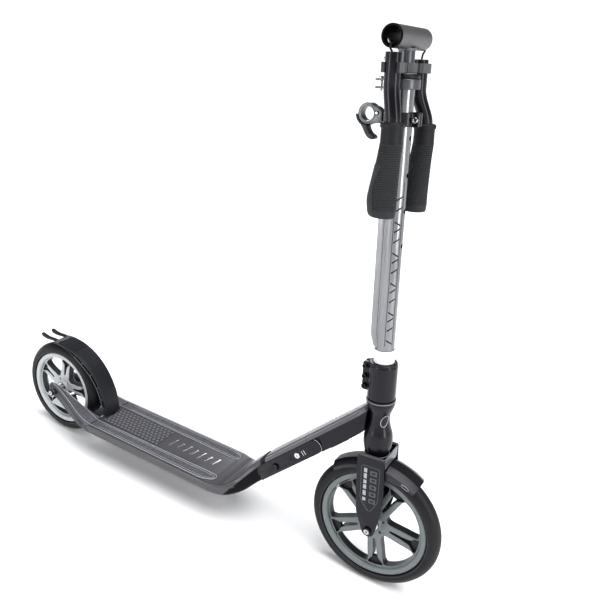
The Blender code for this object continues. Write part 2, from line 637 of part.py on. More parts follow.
def handlebar_top():
    """Inner stem tube with the T-tube welded across it, open at both ends for the bar halves."""
    inner = ring(0.0093, INNER_RADIUS, 0.3850, 0.7460, 24)
    saddle = rod((0, -0.05, T_LEVEL), "Y", 0.10, T_RADIUS + GAP, 28)
    place(cut(inner, saddle), "inner_stem_tube", GREY_PAINT, STEERING)
    tube = ring(T_BORE, T_RADIUS, -T_HALF, T_HALF, 28, "Y", at=(0, 0, T_LEVEL))
    holes = [rod((-0.0200, y, T_LEVEL - 0.0060), "X", 0.0120, 0.0034, 12) for y in (-0.0360, 0.0360)]
    place(cut(tube, *holes), "t_tube", SILVER, STEERING)


BAR_TOPS = {"right": (0.0005, -BAR_SIDE, 0.7335), "left": (0.0035, BAR_SIDE, 0.7265)}
BAR_LEAN = {"right": 0.0075, "left": 0.0115}
BUTTON_DROP = {"right": 0.0080, "left": 0.0225}


def bar_clip():
    """Moulded collar round the inner tube with an open spring clip for a bar on each side."""
    body = rod((0, 0, CLIP_LOW), "Z", CLIP_TOP - CLIP_LOW, 0.0155, 24)
    arms, mouths = [], []
    for name, side in (("right", -1), ("left", 1)):
        x, y, _ = BAR_TOPS[name]
        low, high = sorted((side * 0.0125, side * 0.0360))
        arms.append(box((-0.0055, low, CLIP_LOW), (0.0055, high, CLIP_TOP)))
        arms.append(rod((x, y, CLIP_LOW), "Z", CLIP_TOP - CLIP_LOW, 0.0148, 24))
        mouths.append(rod((x, y, CLIP_LOW - 0.01), "Z", 0.04, BAR_RADIUS + GAP, 24))
        low, high = sorted((y, y + side * 0.04))
        mouths.append(box((x - BAR_RADIUS - GAP, low, CLIP_LOW - 0.01), (x + BAR_RADIUS + GAP, high, CLIP_TOP + 0.01)))
    bore = rod((0, 0, CLIP_LOW - 0.01), "Z", 0.04, INNER_RADIUS + GAP, 24)
    place(cut(join(body, *arms), bore, *mouths), "bar_clip", CLIP_PLASTIC, STEERING)


def bar_route(name):
    """Straight top, a gentle S-bend, and a straight lower end inside the grip."""
    x, y, top = BAR_TOPS[name]
    lean = Vector((BAR_LEAN[name], math.copysign(0.0060, y)))
    points = []
    for below in (0, 0.0375, 0.0455, 0.0535, 0.0615, 0.0695, 0.0775, 0.0855, 0.2035):
        share = max(0.0, min(1.0, (below - 0.0375) / 0.0480))
        ease = share * share * (3 - 2 * share)
        points.append((x + lean.x * ease, y + lean.y * ease, top - below))
    return points


def handlebars():
    for name in ("right", "left"):
        x, y, top = BAR_TOPS[name]
        route = bar_route(name)
        bar = tube_path(route, BAR_RADIUS, 4)
        bore = rod((x, y, top - 0.0330), "Z", 0.060, 0.0088, 16)
        level = top - BUTTON_DROP[name]
        hole = rod((x - 0.0200, y, level), "X", 0.0200, 0.0026, 12)
        place(cut(bar, bore, hole), f"bar_{name}", BLACK_PAINT, STEERING)
        button = rod((x - 0.0130, y, level), "X", 0.0080, 0.0023, 12)
        place(button, f"snap_button_{name}", STEEL, STEERING)
        grip(name, route[-1])


def grip(name, end):
    """Rubber grip, oval towards its lower end, where a palm wing widens it to the back. Levels from the bar's end."""
    x, y, low = end
    rows = ((0.1190, 0.0150, 0.0150, 0.0), (0.1140, 0.0160, 0.0160, 0.0), (0.1120, 0.0148, 0.0148, 0.0),
            (0.0940, 0.0148, 0.0148, 0.0), (0.0700, 0.0160, 0.0152, -0.0025), (0.0450, 0.0182, 0.0158, -0.0055),
            (0.0200, 0.0202, 0.0165, -0.0080), (0.0030, 0.0198, 0.0165, -0.0075), (-0.0060, 0.0150, 0.0145, -0.0040))
    sections = []
    for above, along, across, shift in rows:
        sections.append([(x + shift + along * math.cos(turn), y + across * math.sin(turn), low + above)
                         for turn in (2 * math.pi * step / 20 for step in range(20))])
    bore = rod((x, y, low - 0.0004), "Z", 0.20, BAR_RADIUS + GAP, 16)
    place(cut(loft(sections), bore), f"grip_{name}", GRIP_RUBBER, STEERING)


def elastic_cord():
    """One elastic cord through the T-tube, out of both its ends and down into each bar half."""
    inside = ((0.0000, T_LEVEL - 0.0060), (0.0300, T_LEVEL - 0.0085), (0.0450, T_LEVEL - 0.0092),
              (0.0530, T_LEVEL - 0.0088))
    outside = ((0.0574, 0.7408), (0.0570, 0.7372), (0.0545, 0.7355), (0.0512, 0.7335), (0.0480, 0.7270),
               (0.0455, 0.7180), (0.0450, 0.7080))
    right = [(BAR_TOPS["right"][0], -y, z) for y, z in reversed(outside)] + [(0, -y, z) for y, z in reversed(inside)]
    left = [(0, y, z) for y, z in inside[1:]] + [(BAR_TOPS["left"][0], y, z) for y, z in outside]
    place(tube_path(smooth(right + left, 3), 0.0013, 2), "elastic_cord", ELASTIC, STEERING)


def smooth(points, per_span):
    """A Catmull-Rom curve through the points."""
    knots = [Vector(point) for point in points]
    knots = [2 * knots[0] - knots[1], *knots, 2 * knots[-1] - knots[-2]]
    route = []
    for a, b, c, d in zip(knots, knots[1:], knots[2:], knots[3:]):
        for step in range(per_span):
            t = step / per_span
            route.append((2 * b + (c - a) * t + (2 * a - 5 * b + 4 * c - d) * t * t
                          + (3 * b - a - 3 * c + d) * t ** 3) / 2)
    route.append(knots[-2])
    return route


def build():
    deck()
    deck_covers()
    fold_plates()
    rear_arms()
    wheel_axle("rear", 0.0385, 0.0380, REAR_AXLE)
    wheel("rear", REAR_RADIUS, REAR_RIM, 80, REAR_AXLE)
    rear_fender()
    head_tube()
    downtube()
    release_lever()
    fork()
    wheel_axle("front", 0.0318, 0.0313, FRONT_AXLE)
    wheel("front", FRONT_RADIUS, FRONT_RIM, -11, FRONT_AXLE)
    front_fender("front_fender_rear", 104, 128, 0.1100, 0.1100)
    front_fender("front_fender_front", 52.8, 79.5, 0.1115, 0.1010)
    stem_clamp()
    stem_tube()
    height_collar()
    latch()
    latch_lever()
    handlebar_top()
    bar_clip()
    handlebars()
    elastic_cord()


build()
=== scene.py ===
"""Looks of a folding kick scooter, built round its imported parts.

Metres, +Z up, +X is the direction of travel, +Y is the rider's left. Every shape is a surface worked out
as whole arrays: a function of two parameters on a grid, or a profile carried along a path. Stem pieces are
worked out in the steering frame (x forward, y left, s up the stem from the level of the front axle), fold
pieces along the downtube, wheel pieces round their axles, and each is then placed in the scooter's frame.
"""

import math

import bmesh
import bpy
import numpy as np
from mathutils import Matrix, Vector, geometry


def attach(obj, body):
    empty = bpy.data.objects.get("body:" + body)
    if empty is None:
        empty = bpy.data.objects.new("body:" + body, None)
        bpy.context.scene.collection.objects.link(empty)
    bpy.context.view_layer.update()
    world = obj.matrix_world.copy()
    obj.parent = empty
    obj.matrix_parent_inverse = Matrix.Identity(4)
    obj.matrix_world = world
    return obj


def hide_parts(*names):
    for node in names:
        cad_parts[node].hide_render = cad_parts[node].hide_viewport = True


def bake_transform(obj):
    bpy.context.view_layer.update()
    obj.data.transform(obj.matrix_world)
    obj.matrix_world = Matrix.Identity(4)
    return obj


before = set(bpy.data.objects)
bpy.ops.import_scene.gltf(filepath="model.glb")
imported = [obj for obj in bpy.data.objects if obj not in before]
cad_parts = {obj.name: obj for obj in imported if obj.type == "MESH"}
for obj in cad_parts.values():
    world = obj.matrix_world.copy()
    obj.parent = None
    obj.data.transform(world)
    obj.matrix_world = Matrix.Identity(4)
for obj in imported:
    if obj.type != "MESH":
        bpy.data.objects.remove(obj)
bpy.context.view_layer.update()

RAKE = math.radians(5.0)
UP = np.array((-math.sin(RAKE), 0.0, math.cos(RAKE)))
FORWARD = np.array((math.cos(RAKE), 0.0, math.sin(RAKE)))
LEFT = np.array((0.0, 1.0, 0.0))
STEM = (np.array((0.355019, 0.0, 0.114564)), np.stack((FORWARD, LEFT, UP)))
FRONT = (np.array((0.360, 0.0, 0.115)), np.stack((FORWARD, LEFT, UP)))
REAR = (np.array((-0.375, 0.0, 0.100)), np.eye(3))
HALF = math.sqrt(0.5)
FOLD = (np.array((0.174, 0.0, 0.153)), np.array(((HALF, 0.0, HALF), (0.0, 1.0, 0.0), (-HALF, 0.0, HALF))))
WORLD = (np.zeros(3), np.eye(3))
REAR_X = -0.375
SHEET_FLOOR = 0.0829
CHEEK_FACE = 0.0262
BLADE_FACE = 0.0310
TUBE_RADIUS = 0.0145
T_LEVEL = 0.7520
LATCH_EYE = (-0.0480, 0.6550)
LATCH_PIN = (-0.0340, 0.6560)
BAR_TOPS = {"right": (0.0005, -0.0450, 0.7335), "left": (0.0035, 0.0450, 0.7265)}
BAR_LENGTH = 0.2035
BAR_LEAN = {"right": 0.0075, "left": 0.0115}
BUTTON_DROP = {"right": 0.0080, "left": 0.0225}
SIDES = ((-1, "right"), (1, "left"))


# Shapes


def placed(part, where):
    """A part's points carried from a local frame (origin and three axes) into the scooter's frame."""
    points, faces = part
    return points @ where[1] + where[0], faces


def net(grid, wrap_rows=False, wrap_cols=True, caps=True):
    """Four-sided faces over a grid of points; open ends of a closed section are closed with one face each."""
    rows, cols = grid.shape[:2]
    i, j = np.meshgrid(np.arange(rows - (not wrap_rows)), np.arange(cols - (not wrap_cols)), indexing="ij")
    up, across = (i + 1) % rows, (j + 1) % cols
    faces = np.stack((i * cols + j, i * cols + across, up * cols + across, up * cols + j), -1)
    faces = faces.reshape(-1, 4).tolist()
    if caps and wrap_cols and not wrap_rows:
        faces += [list(range(cols)), list(range((rows - 1) * cols, rows * cols))]
    return grid.reshape(-1, 3), faces


def rounded(loop, radius, steps=4):
    """A closed loop with each corner replaced by a parabola that starts and ends at most radius from it."""
    loop = np.asarray(loop, float)

    def towards(other):
        way = other - loop
        length = np.linalg.norm(way, axis=-1, keepdims=True)
        return loop + way * np.minimum(radius / np.maximum(length, 1e-9), 0.46)

    start, end = towards(np.roll(loop, 1, -2)), towards(np.roll(loop, -1, -2))
    t = np.linspace(0, 1, steps + 1)[:, None]
    weights = (1 - t) ** 2, 2 * t * (1 - t), t ** 2
    curve = sum(weight * knot[..., None, :] for weight, knot in zip(weights, (start, loop, end)))
    return curve.reshape(*loop.shape[:-2], -1, loop.shape[-1])


def glide(knots, per_span):
    """A smooth curve through rows of numbers: a cubic on each span whose slopes come from the neighbours."""
    knots = np.asarray(knots, float)
    padded = np.vstack((2 * knots[0] - knots[1], knots, 2 * knots[-1] - knots[-2]))
    a, b, c, d = (padded[i:len(padded) - 3 + i][:, None] for i in range(4))
    t = np.linspace(0, 1, per_span, endpoint=False)[:, None]
    curve = b + 0.5 * t * (c - a + t * (2 * a - 5 * b + 4 * c - d + t * (3 * b - a - 3 * c + d)))
    return np.vstack((curve.reshape(-1, knots.shape[1]), knots[-1]))


def corners(loop):
    """Sections along a piece, from a loop of (across, height) pairs that each hold one number a section."""
    return np.stack([np.stack(corner, -1) for corner in loop], 1)


def arc(x, z, radius, start, end, count):
    """Points on an arc round (x, z), from one angle to another in degrees."""
    turn = np.radians(np.linspace(start, end, count))
    return np.stack((x + radius * np.cos(turn), z + radius * np.sin(turn)), -1)


def circle(radius, count=32, x=0.0, z=0.0):
    """Points round (x, z)."""
    return arc(x, z, radius, 0, 360 * (1 - 1 / count), count)


def lathe(profile, steps=96, axis="z", centre=(0, 0, 0), span=None):
    """A closed profile of (radius, height) turned round an axis: x = r cos a, y = r sin a, height along."""
    profile = np.asarray(profile, float)
    if span is None:
        turn = np.linspace(0, 2 * np.pi, steps, endpoint=False)
    else:
        turn = np.radians(np.linspace(*span, steps))
    r, h = profile[:, 0], np.broadcast_to(profile[:, 1], (steps, len(profile)))
    one, two = r * np.cos(turn)[:, None], r * np.sin(turn)[:, None]
    grid = np.stack((one, two, h) if axis == "z" else (one, h, two), -1) + np.asarray(centre, float)
    return net(grid, wrap_rows=span is None)


def sleeve(inner, outer, low, high, soft=0.0005, **more):
    """A plain ring with softened edges."""
    return lathe(rounded([(inner, low), (outer, low), (outer, high), (inner, high)], soft), **more)


def column(rows, steps=64):
    """Ovals stacked up the stem, each row being a centre in x and y, two half sizes and a level."""
    x, y, along, across, level = np.asarray(rows, float).T[:, :, None]
    turn = np.linspace(0, 2 * np.pi, steps, endpoint=False)
    grid = np.stack((x + along * np.cos(turn), y + across * np.sin(turn), level + 0 * turn), -1)
    return net(grid)


def slab(loop, low, high, edge=0.0006, holes=(), bend=3, rim=0.0):
    """A plate in x and z with its thickness in y: each outline follows a quarter circle over both edges, and
    rim adds a row of points that far inside each face, where a wall can change colour."""
    turn = np.linspace(0, np.pi / 2, bend + 1)
    rise, inset = edge * (1 - np.cos(turn)), edge * (1 - np.sin(turn))
    if rim:
        rise, inset = np.r_[rise, rim], np.r_[inset, 0]
    levels, insets = np.r_[low + rise, high - rise[::-1]], np.r_[inset, inset[::-1]]
    points, faces, faces_of_cap, count = [], [], [[], []], 0
    for index, outline in enumerate((np.asarray(loop, float), *(np.asarray(hole, float) for hole in holes))):
        after, before = np.roll(outline, -1, 0), np.roll(outline, 1, 0)
        way = after - before
        way /= np.linalg.norm(way, axis=1, keepdims=True)
        side = np.sign((outline[:, 0] * after[:, 1] - after[:, 0] * outline[:, 1]).sum())
        inward = np.stack((-way[:, 1], way[:, 0]), 1) * side * (-1 if index else 1)
        flat = outline + inward * insets[:, None, None]
        grid = np.stack((flat[..., 0], np.broadcast_to(levels[:, None], flat.shape[:2]), flat[..., 1]), -1)
        walls, wall_faces = net(grid, caps=False)
        faces += [[corner + count for corner in face] for face in wall_faces]
        points.append(walls)
        for cap, row in enumerate((0, len(levels) - 1)):
            faces_of_cap[cap].append((count + row * len(outline), grid[row]))
        count += len(walls)
    for loops in faces_of_cap:
        index = np.concatenate([np.arange(first, first + len(ring)) for first, ring in loops])
        flat = [[Vector((x, z, 0)) for x, _, z in ring] for _, ring in loops]
        triangles = geometry.tessellate_polygon(flat)
        faces += [[int(index[corner]) for corner in triangle] for triangle in triangles]
    return np.concatenate(points), faces


def sweep(path, section, side=(0, 1, 0), closed=False):
    """A section carried along a path, square to it, with its first axis kept as near to side as it can be."""
    path, section, side = np.asarray(path, float), np.asarray(section, float), np.asarray(side, float)
    way = np.roll(path, -1, 0) - np.roll(path, 1, 0) if closed else np.gradient(path, axis=0)
    way /= np.linalg.norm(way, axis=1, keepdims=True)
    first = side - (way @ side)[:, None] * way
    first /= np.linalg.norm(first, axis=1, keepdims=True)
    second = np.cross(way, first)
    grid = path[:, None] + section[..., 0:1] * first[:, None] + section[..., 1:2] * second[:, None]
    return net(grid, wrap_rows=closed)


def lying(part):
    """A part with its y and z exchanged, such as a plate laid flat."""
    return part[0][:, [0, 2, 1]], part[1]


def cross_drill(radius, low, high, place, steps=32):
    """A round cutter along x, between two distances from its place."""
    points, faces = lathe([(0.0, low), (radius, low), (radius, high), (0.0, high)], steps)
    return points[:, [2, 1, 0]] + place, faces


def block(low, high, soft=0.0006):
    """A block with softened upright edges and rims."""
    (x0, y0, z0), (x1, y1, z1) = low, high
    loop = rounded([(x0, z0), (x1, z0), (x1, z1), (x0, z1)], 2 * soft)
    return slab(loop, y0, y1, soft)


def head(centre, way, radius, height, socket=0.45, sides=6):
    """A screw head: a domed rim, then a socket whose wall is a hexagon, r = s cos 30 / cos(a mod 60 - 30)."""
    way = np.asarray(way, float)
    one = np.cross(way, (0.3, 0.5, 0.8))
    one /= np.linalg.norm(one)
    two = np.cross(way, one)
    turn = np.linspace(0, 2 * np.pi, 48, endpoint=False)
    step = 2 * np.pi / sides
    flat = socket * radius * np.cos(step / 2) / np.cos(turn % step - step / 2)
    rim = np.full_like(turn, radius)
    rows = [(0 * turn, 0), (rim, 0), (rim, 0.55 * height), (0.93 * rim, 0.88 * height), (0.80 * rim, height),
            (1.12 * flat, height), (flat, 0.94 * height), (flat, 0.35 * height), (0 * turn, 0.3 * height)]
    outward = np.cos(turn)[:, None] * one + np.sin(turn)[:, None] * two
    grid = np.stack([np.asarray(centre) + r[:, None] * outward + way * h for r, h in rows])
    return net(grid, caps=False)


def bolt(start, way, length, radius, head_radius, head_height, **more):
    """A shank from its start along a direction, with a socket head at its start and a plain round end."""
    start, way = np.asarray(start, float), np.asarray(way, float)
    side = (0, 0, 1) if abs(way[2]) < 0.5 else (1, 0, 0)
    shank = sweep([start + way * length * t for t in (0, 0.97, 1)],
                  np.array((1.0, 1.0, 0.85))[:, None, None] * circle(radius, 24), side)
    return [shank, head(start, -way, head_radius, head_height, **more)]


# Making pieces


def as_mesh(name, parts):
    """One mesh of several parts, with its doubled points merged and its faces turned outwards."""
    points = np.concatenate([part[0] for part in parts])
    faces, count = [], 0
    for part in parts:
        faces += [[corner + count for corner in face] for face in part[1]]
        count += len(part[0])
    mesh = bpy.data.meshes.new(name)
    mesh.from_pydata(points.tolist(), [], faces)
    work = bmesh.new()
    work.from_mesh(mesh)
    bmesh.ops.remove_doubles(work, verts=work.verts, dist=2e-7)
    bmesh.ops.dissolve_degenerate(work, edges=work.edges, dist=1e-8)
    bmesh.ops.recalc_face_normals(work, faces=work.faces)
    work.to_mesh(mesh)
    work.free()
    return mesh


def drilled(part, *cutters):
    """A part with closed cutters taken out of it."""
    solid = bpy.data.objects.new("solid", as_mesh("solid", [part]))
    bpy.context.scene.collection.objects.link(solid)
    drills = []
    for cutter in cutters:
        drill = bpy.data.objects.new("drill", as_mesh("drill", [cutter]))
        bpy.context.scene.collection.objects.link(drill)
        modifier = solid.modifiers.new("Cut", "BOOLEAN")
        modifier.object = drill
        modifier.operation = "DIFFERENCE"
        modifier.solver = "EXACT"
        drills.append(drill)
    bpy.context.view_layer.update()
    graph = bpy.context.evaluated_depsgraph_get()
    mesh = bpy.data.meshes.new_from_object(solid.evaluated_get(graph))
    points = np.empty(len(mesh.vertices) * 3)
    mesh.vertices.foreach_get("co", points)
    faces = [list(face.vertices) for face in mesh.polygons]
    for obj in (solid, *drills):
        bpy.data.objects.remove(obj, do_unlink=True)
    return points.reshape(-1, 3), faces


def piece(name, parts, surface, body, nodes=(), where=WORLD, crease=38, tone=None):
    """A finished piece: placed, shaded, riding on its body, and standing for the CAD nodes it is named for.
    tone is a function of the points' places that gives 0 to 1, for the second colour of its finish.
    A piece with no body is left unattached."""
    mesh = as_mesh(name, [placed(part, where) for part in parts])
    mesh.shade_smooth()
    mesh.set_sharp_from_angle(angle=math.radians(crease))
    mesh.materials.append(surface)
    if tone is not None:
        points = np.empty(len(mesh.vertices) * 3, np.float32)
        mesh.vertices.foreach_get("co", points)
        values = np.clip(tone(points.reshape(-1, 3).astype(float)), 0, 1)
        mesh.attributes.new("tone", "FLOAT", "POINT").data.foreach_set("value", values.astype(np.float32))
    obj = bpy.data.objects.new(name, mesh)
    bpy.context.scene.collection.objects.link(obj)
    if body:
        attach(obj, body)
    if nodes:
        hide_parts(*nodes)
    return obj


def local(points, where):
    """The places of points in a local frame."""
    return (points - where[0]) @ where[1].T


# Finishes


def finish(name, colour, other, rough, metallic=0.0, grain=300.0, blotch=14.0, bump=0.08, depth=0.0002,
           stretch=(1, 1, 1), coat=0.0, second=None, contrast=0.5, specular=0.3):
    """A painted, moulded or machined surface: two near colours broken up by a fine grain, a slow change in
    gloss as from handling, and a fine bump. second is the colour where the piece's tone is 1."""
    made = bpy.data.materials.new(name)
    made.use_nodes = True
    nodes, links = made.node_tree.nodes, made.node_tree.links
    shader = nodes["Principled BSDF"]
    shader.inputs["Metallic"].default_value = metallic
    shader.inputs["Coat Weight"].default_value = coat
    shader.inputs["Specular IOR Level"].default_value = specular
    place = nodes.new("ShaderNodeTexCoord")
    scale = nodes.new("ShaderNodeMapping")
    scale.inputs["Scale"].default_value = stretch
    links.new(place.outputs["Object"], scale.inputs["Vector"])
    fine, slow = nodes.new("ShaderNodeTexNoise"), nodes.new("ShaderNodeTexNoise")
    for noise, size, detail in ((fine, grain, 4.0), (slow, blotch, 3.0)):
        noise.inputs["Scale"].default_value = size
        noise.inputs["Detail"].default_value = detail
        links.new(scale.outputs["Vector"], noise.inputs["Vector"])
    ramp = nodes.new("ShaderNodeValToRGB")
    ramp.color_ramp.elements[0].position = 0.5 - contrast / 2
    ramp.color_ramp.elements[0].color = (*colour, 1)
    ramp.color_ramp.elements[1].position = 0.5 + contrast / 2
    ramp.color_ramp.elements[1].color = (*other, 1)
    links.new(fine.outputs["Fac"], ramp.inputs["Fac"])
    shown = ramp.outputs["Color"]
    if second is not None:
        tone, mix = nodes.new("ShaderNodeAttribute"), nodes.new("ShaderNodeMix")
        tone.attribute_name = "tone"
        mix.data_type = "RGBA"
        mix.inputs[7].default_value = (*second, 1)
        links.new(tone.outputs["Fac"], mix.inputs[0])
        links.new(shown, mix.inputs[6])
        shown = mix.outputs[2]
    links.new(shown, shader.inputs["Base Color"])
    gloss = nodes.new("ShaderNodeMapRange")
    gloss.inputs["From Min"].default_value = 0.3
    gloss.inputs["From Max"].default_value = 0.7
    gloss.inputs["To Min"].default_value = rough * 0.82
    gloss.inputs["To Max"].default_value = min(1.0, rough * 1.18)
    links.new(slow.outputs["Fac"], gloss.inputs["Value"])
    links.new(gloss.outputs["Result"], shader.inputs["Roughness"])
    relief = nodes.new("ShaderNodeBump")
    relief.inputs["Strength"].default_value = bump
    relief.inputs["Distance"].default_value = depth
    links.new(fine.outputs["Fac"], relief.inputs["Height"])
    links.new(relief.outputs["Normal"], shader.inputs["Normal"])
    return made


DECK_PAINT = finish("deck_paint", (0.085, 0.085, 0.091), (0.130, 0.130, 0.138), 0.36, 0.5, grain=900,
                    second=(0.006, 0.006, 0.008))
# Its lighter second colour is painted light on the fork crown's front wall. It also lightens the blade tops
# and bar rims.
BLACK_ALLOY = finish("black_alloy", (0.0055, 0.0055, 0.0085), (0.010, 0.010, 0.015), 0.25, grain=1200,
                     coat=0.1, second=(0.13, 0.135, 0.15))
TUBE_PAINT = finish("tube_paint", (0.0060, 0.0060, 0.0100), (0.011, 0.011, 0.017), 0.28, grain=1200,
                    second=(0.115, 0.115, 0.13))
GREY_ALLOY = finish("grey_alloy", (0.085, 0.09, 0.095), (0.12, 0.125, 0.13), 0.32, 0.7, grain=1500,
                    second=(0.008, 0.008, 0.010))
# Its dark second colour is painted shade inside the tube and on the walls of its height holes.
SILVER = finish("silver_alloy", (0.21, 0.215, 0.225), (0.30, 0.305, 0.315), 0.24, 1.0, grain=500, bump=0.03,
                stretch=(1, 1, 0.03), second=(0.012, 0.012, 0.016))
# Its dark second colour is painted shade inside the T-tube's bore. The tube's end rims take it too.
SATIN = finish("satin_alloy", (0.135, 0.135, 0.14), (0.18, 0.18, 0.185), 0.42, 0.75, grain=1600, bump=0.05,
               second=(0.005, 0.005, 0.007))
STEEL = finish("bright_steel", (0.50, 0.50, 0.52), (0.66, 0.66, 0.68), 0.2, 1.0, grain=900, bump=0.05)
DARK_STEEL = finish("dark_steel", (0.025, 0.025, 0.030), (0.05, 0.05, 0.055), 0.30, 0.9, grain=900, bump=0.05)
BOLT = finish("blackened_bolt", (0.012, 0.012, 0.014), (0.025, 0.025, 0.028), 0.28, 0.5, grain=900, bump=0.05,
              second=(0.62, 0.62, 0.64))
# The rims' dark second colours are painted shade on the walls inside their openings and on the sunk webs.
RIM = finish("rim_plastic", (0.155, 0.175, 0.18), (0.20, 0.215, 0.22), 0.42, 0.2, grain=1300, bump=0.06,
             second=(0.012, 0.013, 0.015))
RIM_LIGHT = finish("rim_plastic_light", (0.40, 0.42, 0.43), (0.50, 0.52, 0.53), 0.42, 0.2, grain=1300,
                   bump=0.06, second=(0.022, 0.023, 0.025))
TYRE = finish("tyre_rubber", (0.006, 0.006, 0.007), (0.013, 0.013, 0.015), 0.48, grain=800, bump=0.15,
              second=(0.03, 0.03, 0.034))
# Its darker second colour is painted shade in the grips' dimples. It also darkens the smooth collar.
GRIP = finish("grip_rubber", (0.021, 0.022, 0.025), (0.034, 0.035, 0.039), 0.55, grain=1100, bump=0.2,
              second=(0.003, 0.003, 0.004))
TAPE = finish("grip_tape", (0.018, 0.018, 0.022), (0.185, 0.185, 0.205), 0.85, grain=900, blotch=60, bump=0.9,
              depth=0.0006, contrast=0.34, specular=0.15)
TREAD = finish("tread_plastic", (0.030, 0.030, 0.034), (0.05, 0.05, 0.055), 0.5, grain=900, bump=0.1,
               second=(0.19, 0.19, 0.21), specular=0.2)
CLIP = finish("clip_plastic", (0.075, 0.08, 0.082), (0.11, 0.115, 0.118), 0.42, grain=900, bump=0.1,
              second=(0.006, 0.006, 0.007))
BLACK = finish("black_plastic", (0.0065, 0.0065, 0.009), (0.012, 0.012, 0.016), 0.38, grain=1200, bump=0.12,
               second=(0.06, 0.06, 0.07))
FENDER = finish("fender_plastic", (0.010, 0.011, 0.013), (0.018, 0.019, 0.022), 0.42, grain=1400, bump=0.2,
                second=(0.12, 0.12, 0.14))
WHITE = finish("white_plastic", (0.74, 0.75, 0.77), (0.82, 0.83, 0.85), 0.35, grain=600, bump=0.03)
ELASTIC = finish("elastic_braid", (0.004, 0.004, 0.005), (0.02, 0.02, 0.022), 0.8, grain=2600, bump=0.8,
                 stretch=(1, 1, 0.5))
LINE = finish("light_line", (0.32, 0.32, 0.35), (0.42, 0.42, 0.45), 0.4, 0.4, grain=900, bump=0.05)
# Dark ink for the printed strokes, also used as painted shade in the front cover's slots.
DARK_PRINT_AND_SHADE = finish("dark_print_and_shade", (0.010, 0.010, 0.012), (0.02, 0.02, 0.022), 0.5, grain=900, bump=0.03)


# Wheels


def polar(rows, centre):
    """Points given as (radius, degrees from a spoke's middle), mirrored about that middle."""
    rows = np.vstack((rows, np.asarray(rows)[-2::-1] * (1, -1)))
    turn = np.radians(centre + rows[:, 1])
    return np.stack((rows[:, 0] * np.cos(turn), rows[:, 0] * np.sin(turn)), -1)


def window(reach, centre):
    """The wide opening between two spokes: near-straight sides from a round inner end to the rim."""
    rows = ((0.0265, 9), (0.0385, 17.5), (0.60 * reach, 21), (0.84 * reach, 25), (reach - 0.003, 25.5),
            (reach - 0.002, 12), (reach - 0.002, 0))
    return rounded(polar(rows, centre), 0.011, 6)


def spoke_slot(reach, centre):
    """The slot down the middle of a double spoke, opening into a fork at the rim."""
    rows = ((0.0300, 3.4), (0.0400, 3.8), (0.62 * reach, 3.3), (0.80 * reach, 4.4), (reach - 0.0060, 10.5),
            (reach - 0.0030, 10.0), (reach - 0.0030, 0))
    return rounded(polar(rows, centre), 0.0022, 3)


def web(reach, centre):
    """The recessed floor of a spoke's fork at the rim."""
    rows = ((0.80 * reach, 0.5), (0.82 * reach, 6.5), (reach - 0.002, 12.5), (reach + 0.001, 12),
            (reach + 0.001, 0))
    return polar(rows, centre)


def wheel(prefix, radius, rim, first, where, body, surface):
    """A rim of five double spokes with a hub and a hoop, and a smooth round tyre."""
    reach = rim - 0.0105
    centres = first + 72.0 * np.arange(5)
    holes = [window(reach, centre + 36) for centre in centres]
    holes += [spoke_slot(reach, centre) for centre in centres]
    holes += [circle(0.0021, 16, 0.0190 * math.cos(math.radians(centre + 36)),
                     0.0190 * math.sin(math.radians(centre + 36))) for centre in centres]
    holes.append(circle(0.0118, 48))
    parts = [slab(circle(reach + 0.002, 160), -0.0080, 0.0080, 0.0014, holes, 3, 0.0022)]
    parts += [slab(web(reach, centre), -0.0030, 0.0030, 0.0005) for centre in centres]
    half = ((reach - 0.0004, 0.0058), (reach - 0.0004, 0.0090), (reach + 0.0016, 0.0122),
            (rim - 0.0026, 0.0132), (rim - 0.0008, 0.0122), (rim - 0.0004, 0.0108))
    lip = np.vstack((half, np.asarray(half)[::-1] * (1, -1)))
    parts.append(lathe(rounded(lip, 0.0010), 192, "y"))
    boss = rounded([(0.0113, 0.0112), (0.0132, 0.0114), (0.0142, 0.0092), (0.0160, 0.0084), (0.0160, -0.0084),
                    (0.0142, -0.0092), (0.0132, -0.0114), (0.0113, -0.0112)], 0.0006)
    parts.append(lathe(boss, 96, "y"))

    # Painted shade: the walls inside the openings and the sunk webs take the rim's dark second colour.
    def shaded_inner_walls(points):
        at = local(points, where)
        reached = np.hypot(at[:, 0], at[:, 2])
        return (np.abs(at[:, 1]) < 0.0062) * (reached > 0.0215) * 0.92

    piece(f"{prefix}_rim_detail", parts, surface, body, (f"{prefix}_rim",), where, 32,
          shaded_inner_walls)
    side = rim + 0.0003
    half = np.array([(side, 0.0122), (side + 0.0012, 0.0146), (side + 0.0034, 0.0150),
                     (side + 0.0042, 0.0145), (side + 0.0065, 0.0149), (radius - 0.0095, 0.0138),
                     (radius - 0.0052, 0.0108), (radius - 0.0022, 0.0072), (radius - 0.0006, 0.0036),
                     (radius, 0.0)])
    section = rounded(np.vstack((half, half[-2::-1] * (1, -1))), 0.0016, 3)

    def bead(points):
        at = local(points, where)
        reached = np.hypot(at[:, 0], at[:, 2])
        return np.clip(1.2 - np.abs(reached - side - 0.0022) / 0.0016, 0, 1) * (np.abs(at[:, 1]) > 0.0135)

    piece(f"{prefix}_tyre_detail", [lathe(section, 224, "y")], TYRE, body, (f"{prefix}_tyre",), where,
          30, bead)


